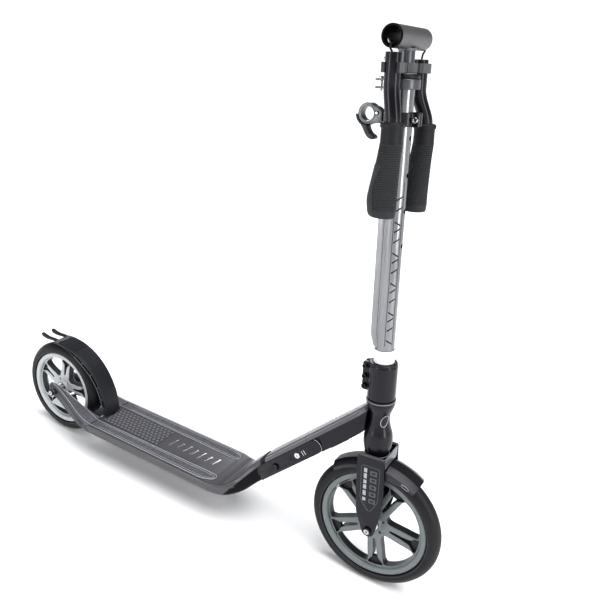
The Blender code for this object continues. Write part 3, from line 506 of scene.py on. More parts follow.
def axle(prefix, reach, head_radius, where, body):
    """A bolt through the wheel, with a socket head on the right and a cap nut on the left."""
    parts = [lathe([(0.0, -reach), (0.0039, -reach), (0.0039, reach), (0.0, reach)], 32, "y"),
             head((0, -reach + 0.0034, 0), (0, -1, 0), head_radius, 0.0036, 0.48),
             head((0, reach - 0.0034, 0), (0, 1, 0), head_radius, 0.0036, 0.42)]

    def socket(points):
        at = local(points, where)
        return np.abs(np.hypot(at[:, 0], at[:, 2]) - 0.52 * head_radius) < 0.14 * head_radius

    piece(f"{prefix}_axle_bolt", parts, BOLT, body, (f"{prefix}_axle",), where, 30, socket)


wheel("front", 0.115, 0.0945, -11, FRONT, "front_wheel", RIM)
wheel("rear", 0.100, 0.0795, 80, REAR, "rear_wheel", RIM_LIGHT)
axle("front", 0.0318 + 0.0031, 0.0068, FRONT, "steering")
axle("rear", 0.0385 + 0.0031, 0.0070, REAR, "frame")


# Deck

STATIONS = ((-0.2455, 0.0735, 0, 0.0608, 0.0104, 0.0095, 0.0030),
            (-0.2300, 0.0735, 0, 0.0610, 0.0104, 0.0095, 0.0030),
            (-0.0600, 0.0735, 0, 0.0610, 0.0104, 0.0095, 0.0030),
            (0.0400, 0.0735, 0, 0.0610, 0.0104, 0.0095, 0.0032),
            (0.0600, 0.0737, 2, 0.0602, 0.0104, 0.0095, 0.0036),
            (0.0850, 0.0760, 11, 0.0540, 0.0112, 0.0110, 0.0056),
            (0.1080, 0.0870, 28, 0.0410, 0.0116, 0.0158, 0.0082),
            (0.1290, 0.1080, 42, 0.0302, 0.0115, 0.0200, 0.0092),
            (0.1415, 0.1205, 45, 0.0231, 0.0115, 0.0215, 0.0088),
            (0.1531, 0.1321, 45, 0.0230, 0.0115, 0.0225, 0.0086))


def deck():
    """The board and its neck: a rounded section with a side groove, carried along a line that turns up."""
    rows = glide(STATIONS, 14)
    x, z, tilt, half, below, above, shoulder = rows.T
    zero = 0 * x
    groove = np.clip((0.09 - x) / 0.04, 0, 1) * 0.0009
    right = [(half - 0.0042, -below), (half - 0.0006, -below + 0.0035), (half, -below + 0.0058),
             (half - groove, -below + 0.0068), (half - groove, -below + 0.0088), (half, -below + 0.0098),
             (half, above - shoulder), (half - shoulder * 0.35, above - shoulder * 0.3),
             (half - shoulder, above)]
    loop = [(y, zero + n) for y, n in right] + [(-y, zero + n) for y, n in right[::-1]]
    section = np.stack([np.stack((y, n), -1) for y, n in loop], 1)
    section = rounded(section, 0.0022, 4)
    lean = np.radians(tilt)[:, None]
    y, n = section[..., 0], section[..., 1]
    grid = np.stack((x[:, None] - np.sin(lean) * n, y, z[:, None] + np.cos(lean) * n), -1)

    def lower(points):
        at = local(points, FOLD)
        dart = np.clip((0.0030 + 0.128 * (at[:, 0] + 0.118) - at[:, 2]) / 0.0006, 0, 1)
        dart *= (at[:, 0] > -0.121) & (np.abs(points[:, 1]) > 0.012)
        edge = np.clip((0.0672 - points[:, 2]) / 0.0005, 0, 1)
        return np.maximum(dart, edge)

    piece("deck_board", [net(grid)], DECK_PAINT, "frame", ("deck",), tone=lower, crease=40)


def strips():
    """Two speckled strips with pointed front ends, each with a fine outline that runs on up the arm."""
    for side, name in SIDES:
        outer = np.array([(-0.2440, 0.0552), (-0.1500, 0.0553), (-0.0600, 0.0552), (0.0200, 0.0549),
                          (0.0400, 0.0535), (0.0560, 0.0460), (0.0600, 0.0370), (0.0560, 0.0312),
                          (0.0300, 0.0306), (-0.0500, 0.0322), (-0.1500, 0.0330), (-0.2440, 0.0345)])
        loop = rounded(outer, 0.005, 5) * (1, side)
        flat = lying(slab(loop, SHEET_FLOOR, 0.0836, 0.0003))
        node = f"grip_strip_{name}"
        piece(f"{node}_tape", [flat], TAPE, "frame", (node,))
        line = rounded(outer, 0.005, 5)[4:-5] * (1, side)
        level = np.full(len(line), 0.0834)
        near = np.array([(-0.0030, 0.0300, 0.1172), (0.0200, 0.0335, 0.1124), (0.0500, 0.0400, 0.1026),
                         (0.0900, 0.0500, 0.0902), (0.1150, 0.0542, 0.0844)])
        far = np.array([(0.1150, 0.0300, 0.0844), (0.0900, 0.0268, 0.0902), (0.0500, 0.0266, 0.1026),
                        (0.0200, 0.0268, 0.1124)])
        shift = (REAR_X, 0, 0)
        path = np.vstack((near * (1, side, 1) + shift, np.column_stack((line, level)),
                          far * (1, side, 1) + shift))
        piece(f"strip_outline_{name}", [sweep(glide(path, 3), circle(0.0008, 10), (0, 0, 1))], LINE, "frame")
        inner = rounded(outer, 0.005, 5)[4:-5]
        middle = np.array((0.0, 0.0430))
        groove = (inner - middle) * (0.93, 0.62) + middle
        path = np.column_stack((groove * (1, side), np.full(len(groove), 0.0836)))
        piece(f"strip_seam_{name}", [sweep(path, circle(0.0004, 8), (0, 0, 1))], LINE, "frame")


def tread():
    """The moulded mat: a sheet whose height falls off towards the edges of cells in staggered rows."""
    x, y = np.meshgrid(np.linspace(-0.2360, -0.0930, 330), np.linspace(-0.0285, 0.0285, 132), indexing="ij")
    pitch = 0.0092
    u, v = x / pitch, y / (pitch * math.sqrt(3) / 2)
    row = np.round(v)
    cell = np.round(u - 0.5 * (row % 2)) + 0.5 * (row % 2)
    near = np.hypot((u - cell) * pitch, (v - row) * pitch * math.sqrt(3) / 2)
    height = 0.0007 * np.clip((0.0044 - near) / 0.0011, 0, 1)
    rim = np.minimum.reduce((x - x.min(), x.max() - x, y - y.min(), y.max() - y))
    height *= np.clip(rim / 0.0015, 0, 1)
    top = np.stack((x, y, 0.0832 + height), -1)
    floor = np.stack((x, y, SHEET_FLOOR + 0 * x), -1)
    rows, cols = x.shape
    upper, lower = net(top, wrap_cols=False), net(floor, wrap_cols=False)
    across, along = np.arange(cols), np.arange(rows)
    edge = np.concatenate((across, along[1:] * cols + cols - 1, (rows - 1) * cols + across[-2::-1],
                           along[-2:0:-1] * cols))
    skirt = net(np.stack((upper[0][edge], lower[0][edge])), caps=False)

    def ridge(points):
        return np.clip((points[:, 2] - 0.0836) / 0.0003, 0, 1) * 0.55

    piece("tread_mat_cells", [upper, lower, skirt], TREAD, "frame", ("tread_mat",),
          tone=ridge)


def accent_bars():
    """A row of plain slanted bright bars down the middle of the deck."""
    parts = []
    for index in range(7):
        x, reach = -0.080 + 0.0175 * index, 0.0090 if index % 2 else 0.0115
        loop = rounded([(x, -reach), (x + 0.0065, -reach), (x + 0.0110, reach), (x + 0.0045, reach)], 0.0012)
        parts.append(lying(slab(loop, SHEET_FLOOR, 0.0834, 0.0002)))
    piece("deck_accent_bars", parts, STEEL, "frame")


def rear_arm(side, name):
    """A flat arm that tapers and rises from the deck to the axle, with a speckled top face."""
    rows = glide(((0.1292, 0.0215, 0.0606, 0.0634, 0.0832), (0.1150, 0.0220, 0.0600, 0.0636, 0.0838),
                  (0.0900, 0.0235, 0.0552, 0.0658, 0.0895), (0.0500, 0.0255, 0.0446, 0.0742, 0.1020),
                  (0.0200, 0.0260, 0.0375, 0.0835, 0.1120), (0.0000, 0.0262, 0.0345, 0.0880, 0.1165),
                  (-0.0110, 0.0264, 0.0328, 0.0930, 0.1165), (-0.0150, 0.0270, 0.0315, 0.0990, 0.1100)), 8)
    x, inner, outer, low, high = rows.T
    loop = [(inner, low), (outer - 0.003, low), (outer, low + 0.004), (outer, high - 0.005),
            (outer - 0.0015, high), (inner, high)]
    section = rounded(corners(loop), 0.0016, 4)
    grid = np.stack((np.broadcast_to((x + REAR_X)[:, None], section.shape[:2]), side * section[..., 0],
                     section[..., 1]), -1)
    along, top, edge = (x + REAR_X)[::-1], high[::-1], outer[::-1]

    def upper(points):
        level = np.interp(points[:, 0], along, top)
        reach = np.interp(points[:, 0], along, edge)
        on_top = np.clip((points[:, 2] - level + 0.0022) / 0.0006, 0, 1)
        return np.where(points[:, 0] > -0.262, 0.45, 0.0) * (np.abs(points[:,
                                                                           1]) > reach - 0.004) + 0.8 * on_top

    piece(f"rear_arm_{name}_bar", [net(grid)], TUBE_PAINT, "frame", (f"rear_arm_{name}",),
          tone=upper)
    x, inner, outer, low, high = rows[:-14].T
    start, end = inner + 0.0022, np.maximum(outer - 0.0060, inner + 0.0046)
    cover = np.stack([np.stack((x + REAR_X, side * reach, high), -1) for reach in (start, end)], 1)
    cover = np.concatenate((cover - (0, 0, 0.0004), cover[:, ::-1] + (0, 0, 0.0005)), 1)
    piece(f"rear_arm_{name}_tape", [net(cover)], TAPE, "frame")


deck()
strips()
tread()
accent_bars()
rear_arm(-1, "right")
rear_arm(1, "left")


# Rear fender


def fender_outer(turn):
    """Radius of the rear fender's top at an angle round the wheel: it opens out towards its back end."""
    return 0.1120 + 0.0300 * np.clip((94 - turn) / 100, 0, 1) ** 1.5


def fender_half(turn):
    """Half width of the rear fender at an angle round the wheel."""
    return 0.0185 + 0.0025 * np.clip(turn / 60, 0, 1)


def round_wheel(turn, section):
    """Sections of (y, radius) set at angles round the wheel."""
    y, r = section[..., 0], section[..., 1]
    turn = np.radians(turn)[:, None]
    return np.stack((r * np.cos(turn), y, r * np.sin(turn)), -1)


def rear_fender():
    """A band over the wheel with a cross-ribbed foot pad, side rails with ribs between, a dark inner sheet
    behind the ribs as painted shade, and two prongs.
    """
    turn = np.linspace(-4.5, 94, 400)
    outer, half = fender_outer(turn), fender_half(turn)
    loop = np.stack([np.stack(corner, -1) for corner in (
        (-half, outer - 0.0045), (half, outer - 0.0045), (half, outer - 0.0016), (half - 0.0016, outer),
        (0.6 * half, outer), (0.2 * half, outer), (-0.2 * half, outer), (-0.6 * half, outer),
        (-half + 0.0016, outer), (-half, outer - 0.0016))], 1)
    section = rounded(loop, 0.0007, 3)
    pad = np.clip((turn - 64) / 1.0, 0, 1) * np.clip((87 - turn) / 1.0, 0, 1)
    rib = pad * (0.0011 * np.abs(np.sin(np.radians(turn) * 120 / 2)) - 0.0012)
    top = section[..., 1] > (outer - 0.0006)[:, None]
    inside = np.abs(section[..., 0]) < (half - 0.0018)[:, None]
    section[..., 1] += rib[:, None] * (top & inside)
    parts = [net(round_wheel(turn, section))]
    skirt = 0.1065 + 0.018 * np.clip(1 - turn / 50, 0, 1)
    for side in (-1, 1):
        # The first row is the low rail. The second is a dark inner sheet set in behind the ribs, put in as
        # painted shade for the openings between them.
        for inset, thick, low, high in ((0.0002, 0.0022, skirt, skirt + 0.0026),
                                        (0.0062, 0.0012, skirt + 0.0004, outer - 0.004)):
            loop = [(side * (half - inset), low), (side * (half - inset), high),
                    (side * (half - inset - thick), high), (side * (half - inset - thick), low)]
            rail = rounded(np.stack([np.stack((y, r + 0 * y), -1) for y, r in loop], 1), 0.0005, 2)
            parts.append(net(round_wheel(turn, rail)))
        for place in (-3.6, 9, 21, 35, 50):
            span = np.linspace(place - 0.7, place + 0.7, 4)
            reach = fender_outer(span) - 0.003
            start = 0.1070 + 0.018 * np.clip(1 - span / 50, 0, 1)
            width = fender_half(span)
            loop = [(side * (width - 0.0005), start), (side * (width - 0.0005), reach),
                    (side * (width - 0.0070), reach), (side * (width - 0.0070), start)]
            parts.append(net(round_wheel(span, corners(loop))))
        low, high = sorted((side * 0.0158, side * 0.0096))
        prong = glide([(0.010, 0.1080), (0.008, 0.1122), (-0.012, 0.1136), (-0.032, 0.1128),
                       (-0.0480, 0.1160), (-0.0510, 0.1140), (-0.0480, 0.1085), (-0.0350, 0.1066),
                       (-0.018, 0.1080)], 5)
        parts.append(slab(prong, low, high, 0.0012))
        low, high = sorted((side * 0.0181, side * 0.0158))
        ear = rounded([(0.1035, -0.0160), (0.1035, -0.0270), (0.1160, -0.0270), (0.1270, -0.0160),
                       (0.1370, -0.0120), (0.1370, 0.0040), (0.1240, 0.0040)], 0.002)
        parts.append(slab(ear, low, high, 0.0004, [circle(0.0023, 20, 0.110, -0.022)]))

    # Lighter second colour on the outer faces of the low rails and rib ends below 62 degrees, and on the step
    # at the back end of the pad.
    def lighter_rails_and_step(points):
        at = local(points, REAR)
        turned = np.degrees(np.arctan2(at[:, 2], at[:, 0]))
        reached = np.hypot(at[:, 0], at[:, 2])
        rail = (np.abs(at[:, 1]) > fender_half(turned) - 0.0012) * (reached < fender_outer(turned) - 0.0048)
        step = (turned > 87.5) * (turned < 93) * (reached > 0.1105)
        return np.maximum(0.85 * step, 0.55 * rail * (turned < 62))

    piece("rear_fender_brake", parts, FENDER, "fender", ("rear_fender",), REAR, 34, lighter_rails_and_step)


rear_fender()


# Fold and downtube


def fold_plate(side, name):
    """A long black cheek with a round front end, its screws, two bright bars and a curved line."""
    front = arc(0.112 - 0.0125, 0.0010, 0.0125, -90, 90, 18)
    loop = np.vstack(((-0.0430, -0.0115), front, (-0.0360, 0.0135), (-0.0430, 0.0040)))
    low, high = sorted((side * 0.0234, side * CHEEK_FACE))
    plate = slab(loop, low, high, 0.0005, [circle(0.0045, 24)])
    piece(f"fold_plate_{name}_cheek", [plate], BLACK_ALLOY, "frame", (f"fold_plate_{name}",), FOLD)
    face, way = side * CHEEK_FACE, (0, side, 0)
    near, far = sorted((face - side * 0.0003, face + side * 0.0004))
    bright = [head((0.0580, face - side * 0.0004, 0.0010), way, 0.0052, 0.0014, 0.30)]
    for along in (0.0705, 0.0755):
        bright.append(block((along, near, -0.0040), (along + 0.0012, far, 0.0050), 0.0002))
    curve = arc(0.0985, 0.0010, 0.0150, -50, 50, 24)
    path = np.column_stack((curve[:, 0], np.full(24, face), curve[:, 1]))
    piece(f"fold_line_{name}", [sweep(path, circle(0.0005, 8), (0, 1, 0))], LINE, "front_frame", (), FOLD)
    dark = [head((0.0420, face - side * 0.0004, 0.0010), way, 0.0046, 0.0012, 0.42),
            head((0.0910, face - side * 0.0004, 0.0010), way, 0.0046, 0.0012, 0.42)]
    piece(f"fold_bright_fittings_{name}", bright, STEEL, "frame", (), FOLD, 30)
    piece(f"fold_dark_screws_{name}", dark, DARK_STEEL, "frame", (), FOLD, 30)


def fold_pivot():
    """A shank through both cheeks, with a socket head on each side."""
    parts = [lathe([(0.0, -0.0292), (0.0039, -0.0292), (0.0039, 0.0292), (0.0, 0.0292)], 32, "y")]
    parts += [head((0, side * 0.0264, 0), (0, side, 0), 0.0068, 0.0032, 0.5) for side in (-1, 1)]
    piece("fold_pivot_screw", parts, DARK_STEEL, "frame", ("fold_pivot_bolt",), FOLD, 30)


def downtube():
    """A crowned section carried up the line of the fold, with its upper end cut upright at the head tube."""
    share = np.array((0.0, 0.575, 0.585, 0.8, 0.9, 0.94, 0.97, 1.0))
    line = np.linspace(0, 1, 140)
    low = np.interp(line, share, (0.0230, 0.0230, 0.0262, 0.0262, 0.0258, 0.0246, 0.0222, 0.0190))
    high = np.interp(line, share, (0.0262, 0.0262, 0.0262, 0.0262, 0.0258, 0.0246, 0.0222, 0.0190))
    dip = np.clip((line + 0.02) / 0.08, 0, 1) * 0.0016
    side = [(low, -0.0115), (low, 0.0025), (low - 0.0006, 0.0032), (low, 0.0040), (low, 0.0136),
            (high, 0.0139), (high, 0.0150), (high - 0.0030, 0.0192), (high - 0.0078, 0.0206),
            (high - 0.0086, 0.0206 - dip), (high - 0.0098, 0.0207 - dip), (high - 0.0106, 0.0216),
            (high - 0.0135, 0.0225)]
    loop = [(y, 0 * y + over) for y, over in side] + [(-y, 0 * y + over) for y, over in side[::-1]]
    section = rounded(corners(loop), 0.0006, 3)
    over = section[..., 1]
    along = -0.0140 + (0.2095 + over + 0.0140) * line[:, None]
    grid = np.stack((along, section[..., 0], over), -1)

    def crown(points):
        at = local(points, FOLD)
        valley = (np.abs(np.abs(at[:, 1]) - 0.0170) < 0.0010) & (at[:, 2] < 0.0204)
        return np.clip((at[:, 2] - 0.0142) / 0.0006, 0, 1) * (1 - 0.95 * valley)

    piece("downtube_shell", [net(grid)], TUBE_PAINT, "front_frame", ("downtube",), FOLD, 30,
          crown)


def release_lever():
    """A thin pedal under the downtube: a rounded strip with finger ribs across its free end."""
    line = np.linspace(0, 1, 60)
    along = 0.1180 + 0.0400 * line
    half = 0.0118 + 0.0012 * np.sin(np.pi * line) - 0.0006 * line
    rib = 0.0003 * (np.sin(line * 90) > 0.2) * (line < 0.4)
    low, high = -0.0153 - rib, -0.0121 + 0 * line
    loop = [(half, low), (half, high), (-half, high), (-half, low)]
    section = rounded(corners(loop), 0.0008, 3)
    grid = np.stack((np.broadcast_to(along[:, None], section.shape[:2]), section[..., 0], section[..., 1]),
                    -1)
    piece("release_pedal", [net(grid)], BLACK, "release_lever", ("fold_release_lever",), FOLD)


for side, name in SIDES:
    fold_plate(side, name)
fold_pivot()
downtube()
release_lever()


# Head and fork


def head_tube():
    """A turned waist between two flared ends, with a thin line under its top ring, a painted glint ring at
    its foot and a plain raised oval.
    """
    outside = glide([(0.0230, 0.2292), (0.0233, 0.2255), (0.0226, 0.2195), (0.0200, 0.2115), (0.0174, 0.2045),
                     (0.0163, 0.1970), (0.0168, 0.1885), (0.0192, 0.1785), (0.0224, 0.1680), (0.0235, 0.1560),
                     (0.0226, 0.1440), (0.0200, 0.1345), (0.0200, 0.1318)], 6)
    ring = [(0.0176, 0.2298), (0.0230, 0.2298)]
    inside = [(0.0198, 0.1312), (0.0176, 0.1312), (0.0128, 0.1410), (0.0128, 0.2190)]
    profile = np.vstack((ring, outside, inside))
    line = sleeve(0.0228, 0.0235, 0.2264, 0.2272, 0.0002)
    piece("head_tube_body", [lathe(profile, 128)], BLACK_ALLOY, "front_frame", ("head_tube",), STEM,
          30)
    # A bright ring round the foot of the head tube, over the cup: a painted glint.
    painted_glint_ring = sleeve(0.0192, 0.0207, 0.1316, 0.1326, 0.0003)
    piece("head_tube_line_and_painted_glint", [line, painted_glint_ring], LINE, "front_frame", (), STEM)
    turn = np.linspace(0, 2 * np.pi, 64, endpoint=False)
    facing = math.radians(-38) + 0.40 * np.cos(turn)
    level = 0.1955 + 0.0090 * np.sin(turn) + 0.0030 * np.cos(turn)
    radius = np.interp(level, (0.1785, 0.1885, 0.1970, 0.2045, 0.2115),
                       (0.0192, 0.0168, 0.0163, 0.0174, 0.0200))
    path = np.column_stack(((radius + 0.0002) * np.cos(facing), (radius + 0.0002) * np.sin(facing), level))
    piece("head_oval", [sweep(path, circle(0.0006, 8), (0, 0, 1), closed=True)], LINE, "front_frame", (),
          STEM)


def blade(side, name):
    """A fork blade with a raised outline round a sunken panel, and plain print blocks in two columns."""
    tip = arc(0.005, 0, 0.0115, -170, -10, 14)
    loop = np.vstack(([(-0.0210, 0.1395), (-0.0203, 0.0700), (-0.0178, 0.0300)], tip,
                      [(0.0262, 0.0450), (0.0272, 0.0880), (0.0250, 0.1395)]))
    low, high = sorted((side * 0.0255, side * BLADE_FACE))
    plate = slab(rounded(loop, 0.004, 4), low, high, 0.0016, [circle(0.0044, 24, 0.005, 0)], 4)

    def top_edge(points):
        at = local(points, STEM)
        return 0.5 * np.clip((at[:, 2] - 0.1370) / 0.0008, 0, 1)

    piece(f"fork_blade_{name}_plate", [plate], BLACK_ALLOY, "steering", (f"fork_blade_{name}",), STEM,
          tone=top_edge)
    panel = rounded([(-0.0120, 0.1210), (-0.0115, 0.0600), (0.0010, 0.0400), (0.0080, 0.0390),
                     (0.0190, 0.0600), (0.0198, 0.1210)], 0.005, 4)
    path = np.column_stack((panel[:, 0], np.full(len(panel), side * BLADE_FACE), panel[:, 1]))
    piece(f"fork_panel_line_{name}", [sweep(path, circle(0.0006, 8), (0, 1, 0), closed=True)], GREY_ALLOY,
          "steering", (), STEM)
    low, high = sorted((side * 0.0308, side * 0.0312))
    bars = []
    for level, tall in ((0.1085, 0.0080), (0.0975, 0.0090), (0.0880, 0.0070), (0.0780, 0.0080),
                        (0.0660, 0.0090), (0.0560, 0.0060)):
        bars.append(slab(rounded([(-0.0075, level), (-0.0020, level), (-0.0020, level + tall),
                                  (-0.0075, level + tall)], 0.0006), low, high, 0.0001))
    piece(f"fork_print_{name}", bars, LINE, "steering", (), STEM)
    bars = []
    for level in (0.1060, 0.0930, 0.0800, 0.0670, 0.0540):
        bars.append(slab(rounded([(0.0035, level), (0.0150, level), (0.0150, level + 0.0085),
                                  (0.0035, level + 0.0085)], 0.0010), low, high, 0.0001,
                         [rounded([(0.0062, level + 0.0024), (0.0123, level + 0.0024),
                                   (0.0123, level + 0.0061), (0.0062, level + 0.0061)], 0.0006)]))
    piece(f"fork_mark_{name}", bars, GREY_ALLOY, "steering", (), STEM)


def fork_crown():
    """A bridge between the blades with an upright wall at its front, and the steerer tube rising from it. The
    wall's forward face carries painted light.
    """
    bridge = block((-0.0205, -0.0252, 0.1182), (0.0245, 0.0252, 0.1238), 0.0012)
    steerer = lathe(rounded([(0.0, 0.1200), (0.0112, 0.1200), (0.0112, 0.2868), (0.0, 0.2868)], 0.0005), 64)
    wall = block((0.0234, -0.0252, 0.1186), (0.0252, 0.0252, 0.1385), 0.0006)

    # Painted light: the forward face of the front wall takes the lighter second colour, as lit from the
    # front.
    def front(points):
        at = local(points, STEM)
        return 0.8 * (at[:, 0] > 0.0228) * (at[:, 2] > 0.1184)

    piece("fork_bridge", [bridge, steerer, wall], BLACK_ALLOY, "steering", ("fork_crown",), STEM,
          tone=front)
    race = rounded([(0.0195, 0.1306), (0.0212, 0.1275), (0.0205, 0.1244), (0.0117, 0.1244), (0.0117, 0.1306)],
                   0.0008)
    piece("crown_cup", [lathe(race, 96)], DARK_STEEL, "steering", ("crown_race",), STEM, 30)


def front_fender(name, start, end, start_skirt, end_skirt):
    """A short cover over the front wheel: a flat crown between sloping sides, with upright skirts."""
    line = np.linspace(0, 1, 70)
    turn = start + (end - start) * line
    skirt = start_skirt + (end_skirt - start_skirt) * line
    zero = 0 * line
    half = [(zero + 0.0092, zero + 0.1192), (zero + 0.0214, zero + 0.1140), (zero + 0.0214, skirt),
            (zero + 0.0240, skirt), (zero + 0.0240, zero + 0.1155), (zero + 0.0105, zero + 0.1222)]
    loop = [*half, *((-y, radius) for y, radius in half[::-1])]
    section = rounded(corners(loop), 0.0012, 3)

    def edge(points):
        at = local(points, FRONT)
        crown = np.hypot(at[:, 0], at[:, 2]) > 0.1212
        return 0.45 * (1 - crown) * (np.abs(at[:, 1]) > 0.0108)

    piece(f"{name}_cover", [net(round_wheel(turn, section))], BLACK, "steering", (name,), FRONT,
          34, edge)


def fender_slots():
    """An oval slot in each side of the front cover, drawn as a low rim round a dark face that is painted
    shade in place of the opening.
    """
    for side, name in SIDES:
        away = np.array((math.cos(math.radians(61)), math.sin(math.radians(61))))
        across = np.array((-away[1], away[0]))
        turn = np.linspace(0, 2 * np.pi, 48, endpoint=False)
        rim = 0.1130 * away + 0.0070 * np.cos(turn)[:, None] * across + 0.0023 * np.sin(turn)[:, None] * away
        path = np.column_stack((rim[:, 0], np.full(48, side * 0.0240), rim[:, 1]))
        piece(f"fender_slot_rim_{name}", [sweep(path, circle(0.0004, 8), (0, 1, 0), closed=True)], LINE,
              "steering", (), FRONT)
        # The dark face is painted shade standing in for the slot's opening.
        low, high = sorted((side * 0.0236, side * 0.02405))
        piece(f"fender_slot_{name}", [slab(rim, low, high, 0.0001)], DARK_PRINT_AND_SHADE, "steering", (), FRONT)


head_tube()
blade(-1, "right")
blade(1, "left")
fork_crown()
front_fender("front_fender_rear", 104, 128, 0.1100, 0.1100)
front_fender("front_fender_front", 52.8, 79.5, 0.1115, 0.1010)
fender_slots()


# Stem


def split_ring(profile, gap, steps=96):
    """A ring turned from one side of a slit at the back to the other."""
    return lathe(profile, steps, "z", span=(-180 + gap, 180 - gap))


def stem_clamp():
    """The clamp at the foot of the stem: a split sleeve with a stepped top, ears and three socket screws."""
    profile = rounded([(0.0149, 0.2305), (0.0220, 0.2305), (0.0225, 0.2318), (0.0225, 0.2862),
                       (0.0216, 0.2876), (0.0216, 0.2900), (0.0208, 0.2909), (0.0149, 0.2909)], 0.0006)
    parts = [split_ring(profile, 3)]
    for side in (-1, 1):
        low, high = sorted((side * 0.0010, side * 0.0095))
        parts.append(block((-0.0305, low, 0.2400), (-0.0180, high, 0.2875), 0.0014))
    piece("stem_clamp_body", parts, BLACK_ALLOY, "steering", ("stem_clamp",), STEM, 32)
    for index, level in enumerate((0.2815, 0.2645, 0.2475)):
        screw = bolt((-0.0255, -0.0098, level), (0, 1, 0), 0.0190, 0.0019, 0.0043, 0.0046)
        piece(f"clamp_socket_screw_{index + 1}", screw, DARK_STEEL, "steering", (f"clamp_screw_{index + 1}",),
              STEM, 30)


def stem_tube():
    """The polished outer tube, with four round height holes at the front and a fin down its back."""
    wall = sleeve(0.0118, TUBE_RADIUS, 0.2365, 0.6905, 0.0006, steps=128)
    tube = drilled(wall, *(cross_drill(0.0034, -0.006, 0.006, (0.0140, 0, 0.6250 - 0.050 * index))
                           for index in range(4)))
    fin = slab(rounded([(-0.0132, 0.3135), (-0.0175, 0.3135), (-0.0235, 0.3330), (-0.0235, 0.5900),
                        (-0.0175, 0.6050), (-0.0132, 0.6050)], 0.004), -0.0040, 0.0040, 0.0012)

    # Painted shade: the inside of the tube and the walls of the height holes within it take the dark second
    # colour.
    def shaded_bore(points):
        at = local(points, STEM)
        return (np.hypot(at[:, 0], at[:, 1]) < 0.0126) * 1.0

    piece("stem_outer_tube", [tube, fin], SILVER, "steering", ("stem_tube",), STEM, 30, shaded_bore)
    ring = rounded([(0.0148, 0.2917), (0.0163, 0.2917), (0.0163, 0.3128), (0.0148, 0.3128)], 0.0005)
    piece("stem_white_sleeve", [lathe(ring, 96)], WHITE, "steering", ("stem_sleeve",), STEM,
          30)


def printed(turn, height):
    """A thin patch on the outer tube, as a grid of angles and heights: x = r cos a, y = r sin a."""
    outer, inner = (np.stack((radius * np.cos(turn), radius * np.sin(turn), height), -1)
                    for radius in (0.01456, 0.01440))
    return net(np.concatenate((outer, inner[:, ::-1]), 1))


def stem_marks():
    """Plain slanted strokes printed up the right front of the stem tube, as patches just off its surface."""
    parts = []
    for index in range(15):
        level = 0.330 + 0.0150 * index
        turn = np.radians(np.linspace(-66, -30, 12))
        u, v = np.meshgrid(turn, np.linspace(0, 1, 8), indexing="ij")
        slant = 0.0055 * (u - turn[0]) / (turn[-1] - turn[0]) * (1 if index % 3 else -1)
        parts.append(printed(u, level + 0.0024 * v + slant))
    for degrees in (-72, -24):
        u, v = np.meshgrid(np.radians(np.linspace(degrees - 1.6, degrees + 1.6, 4)),
                           np.linspace(0.322, 0.566, 40), indexing="ij")
        parts.append(printed(u, v))
    piece("stem_printed_strokes", parts, DARK_PRINT_AND_SHADE, "steering", (), STEM)


def height_collar():
    """The split collar at the mouth of the tube, its two flanges, its upright screw and its cap ring."""
    profile = rounded([(0.0149, 0.6882), (0.0206, 0.6882), (0.0212, 0.6892), (0.0212, 0.7004),
                       (0.0206, 0.7014), (0.0116, 0.7014), (0.0116, 0.6910), (0.0149, 0.6910)], 0.0006)
    parts = [split_ring(profile, 2.5)]
    for low in (0.6882, 0.6985):
        parts.append(drilled(block((-0.0400, -0.0060, low), (-0.0185, 0.0060, low + 0.0028), 0.0008),
                             lathe([(0.0, 0.68), (0.0026, 0.68), (0.0026, 0.71), (0.0, 0.71)], 24,
                                   centre=(-0.0335, 0, 0))))
    piece("height_collar_body", parts, GREY_ALLOY, "steering", ("height_collar",), STEM, 32)
    screw = bolt((-0.0335, 0, 0.7016), (0, 0, -1), 0.0166, 0.0021, 0.0042, 0.0025)
    piece("collar_socket_screw", screw, STEEL, "steering", ("collar_screw",), STEM, 30)
    cap = rounded([(0.0116, 0.7020), (0.0200, 0.7020), (0.0205, 0.7050), (0.0195, 0.7072), (0.0150, 0.7078),
                   (0.0128, 0.7064), (0.0116, 0.7058)], 0.0006)
    piece("collar_cap_ring", [lathe(cap, 96)], BLACK, "steering", ("collar_cap",), STEM, 30)
    turn = np.radians(np.linspace(-80, 10, 32))
    path = np.column_stack((0.0150 * np.cos(turn), 0.0150 * np.sin(turn), np.full(32, 0.7076)))
    piece("collar_cap_line", [sweep(path, circle(0.0007, 8), (0, 0, 1))], LINE, "steering", (), STEM)


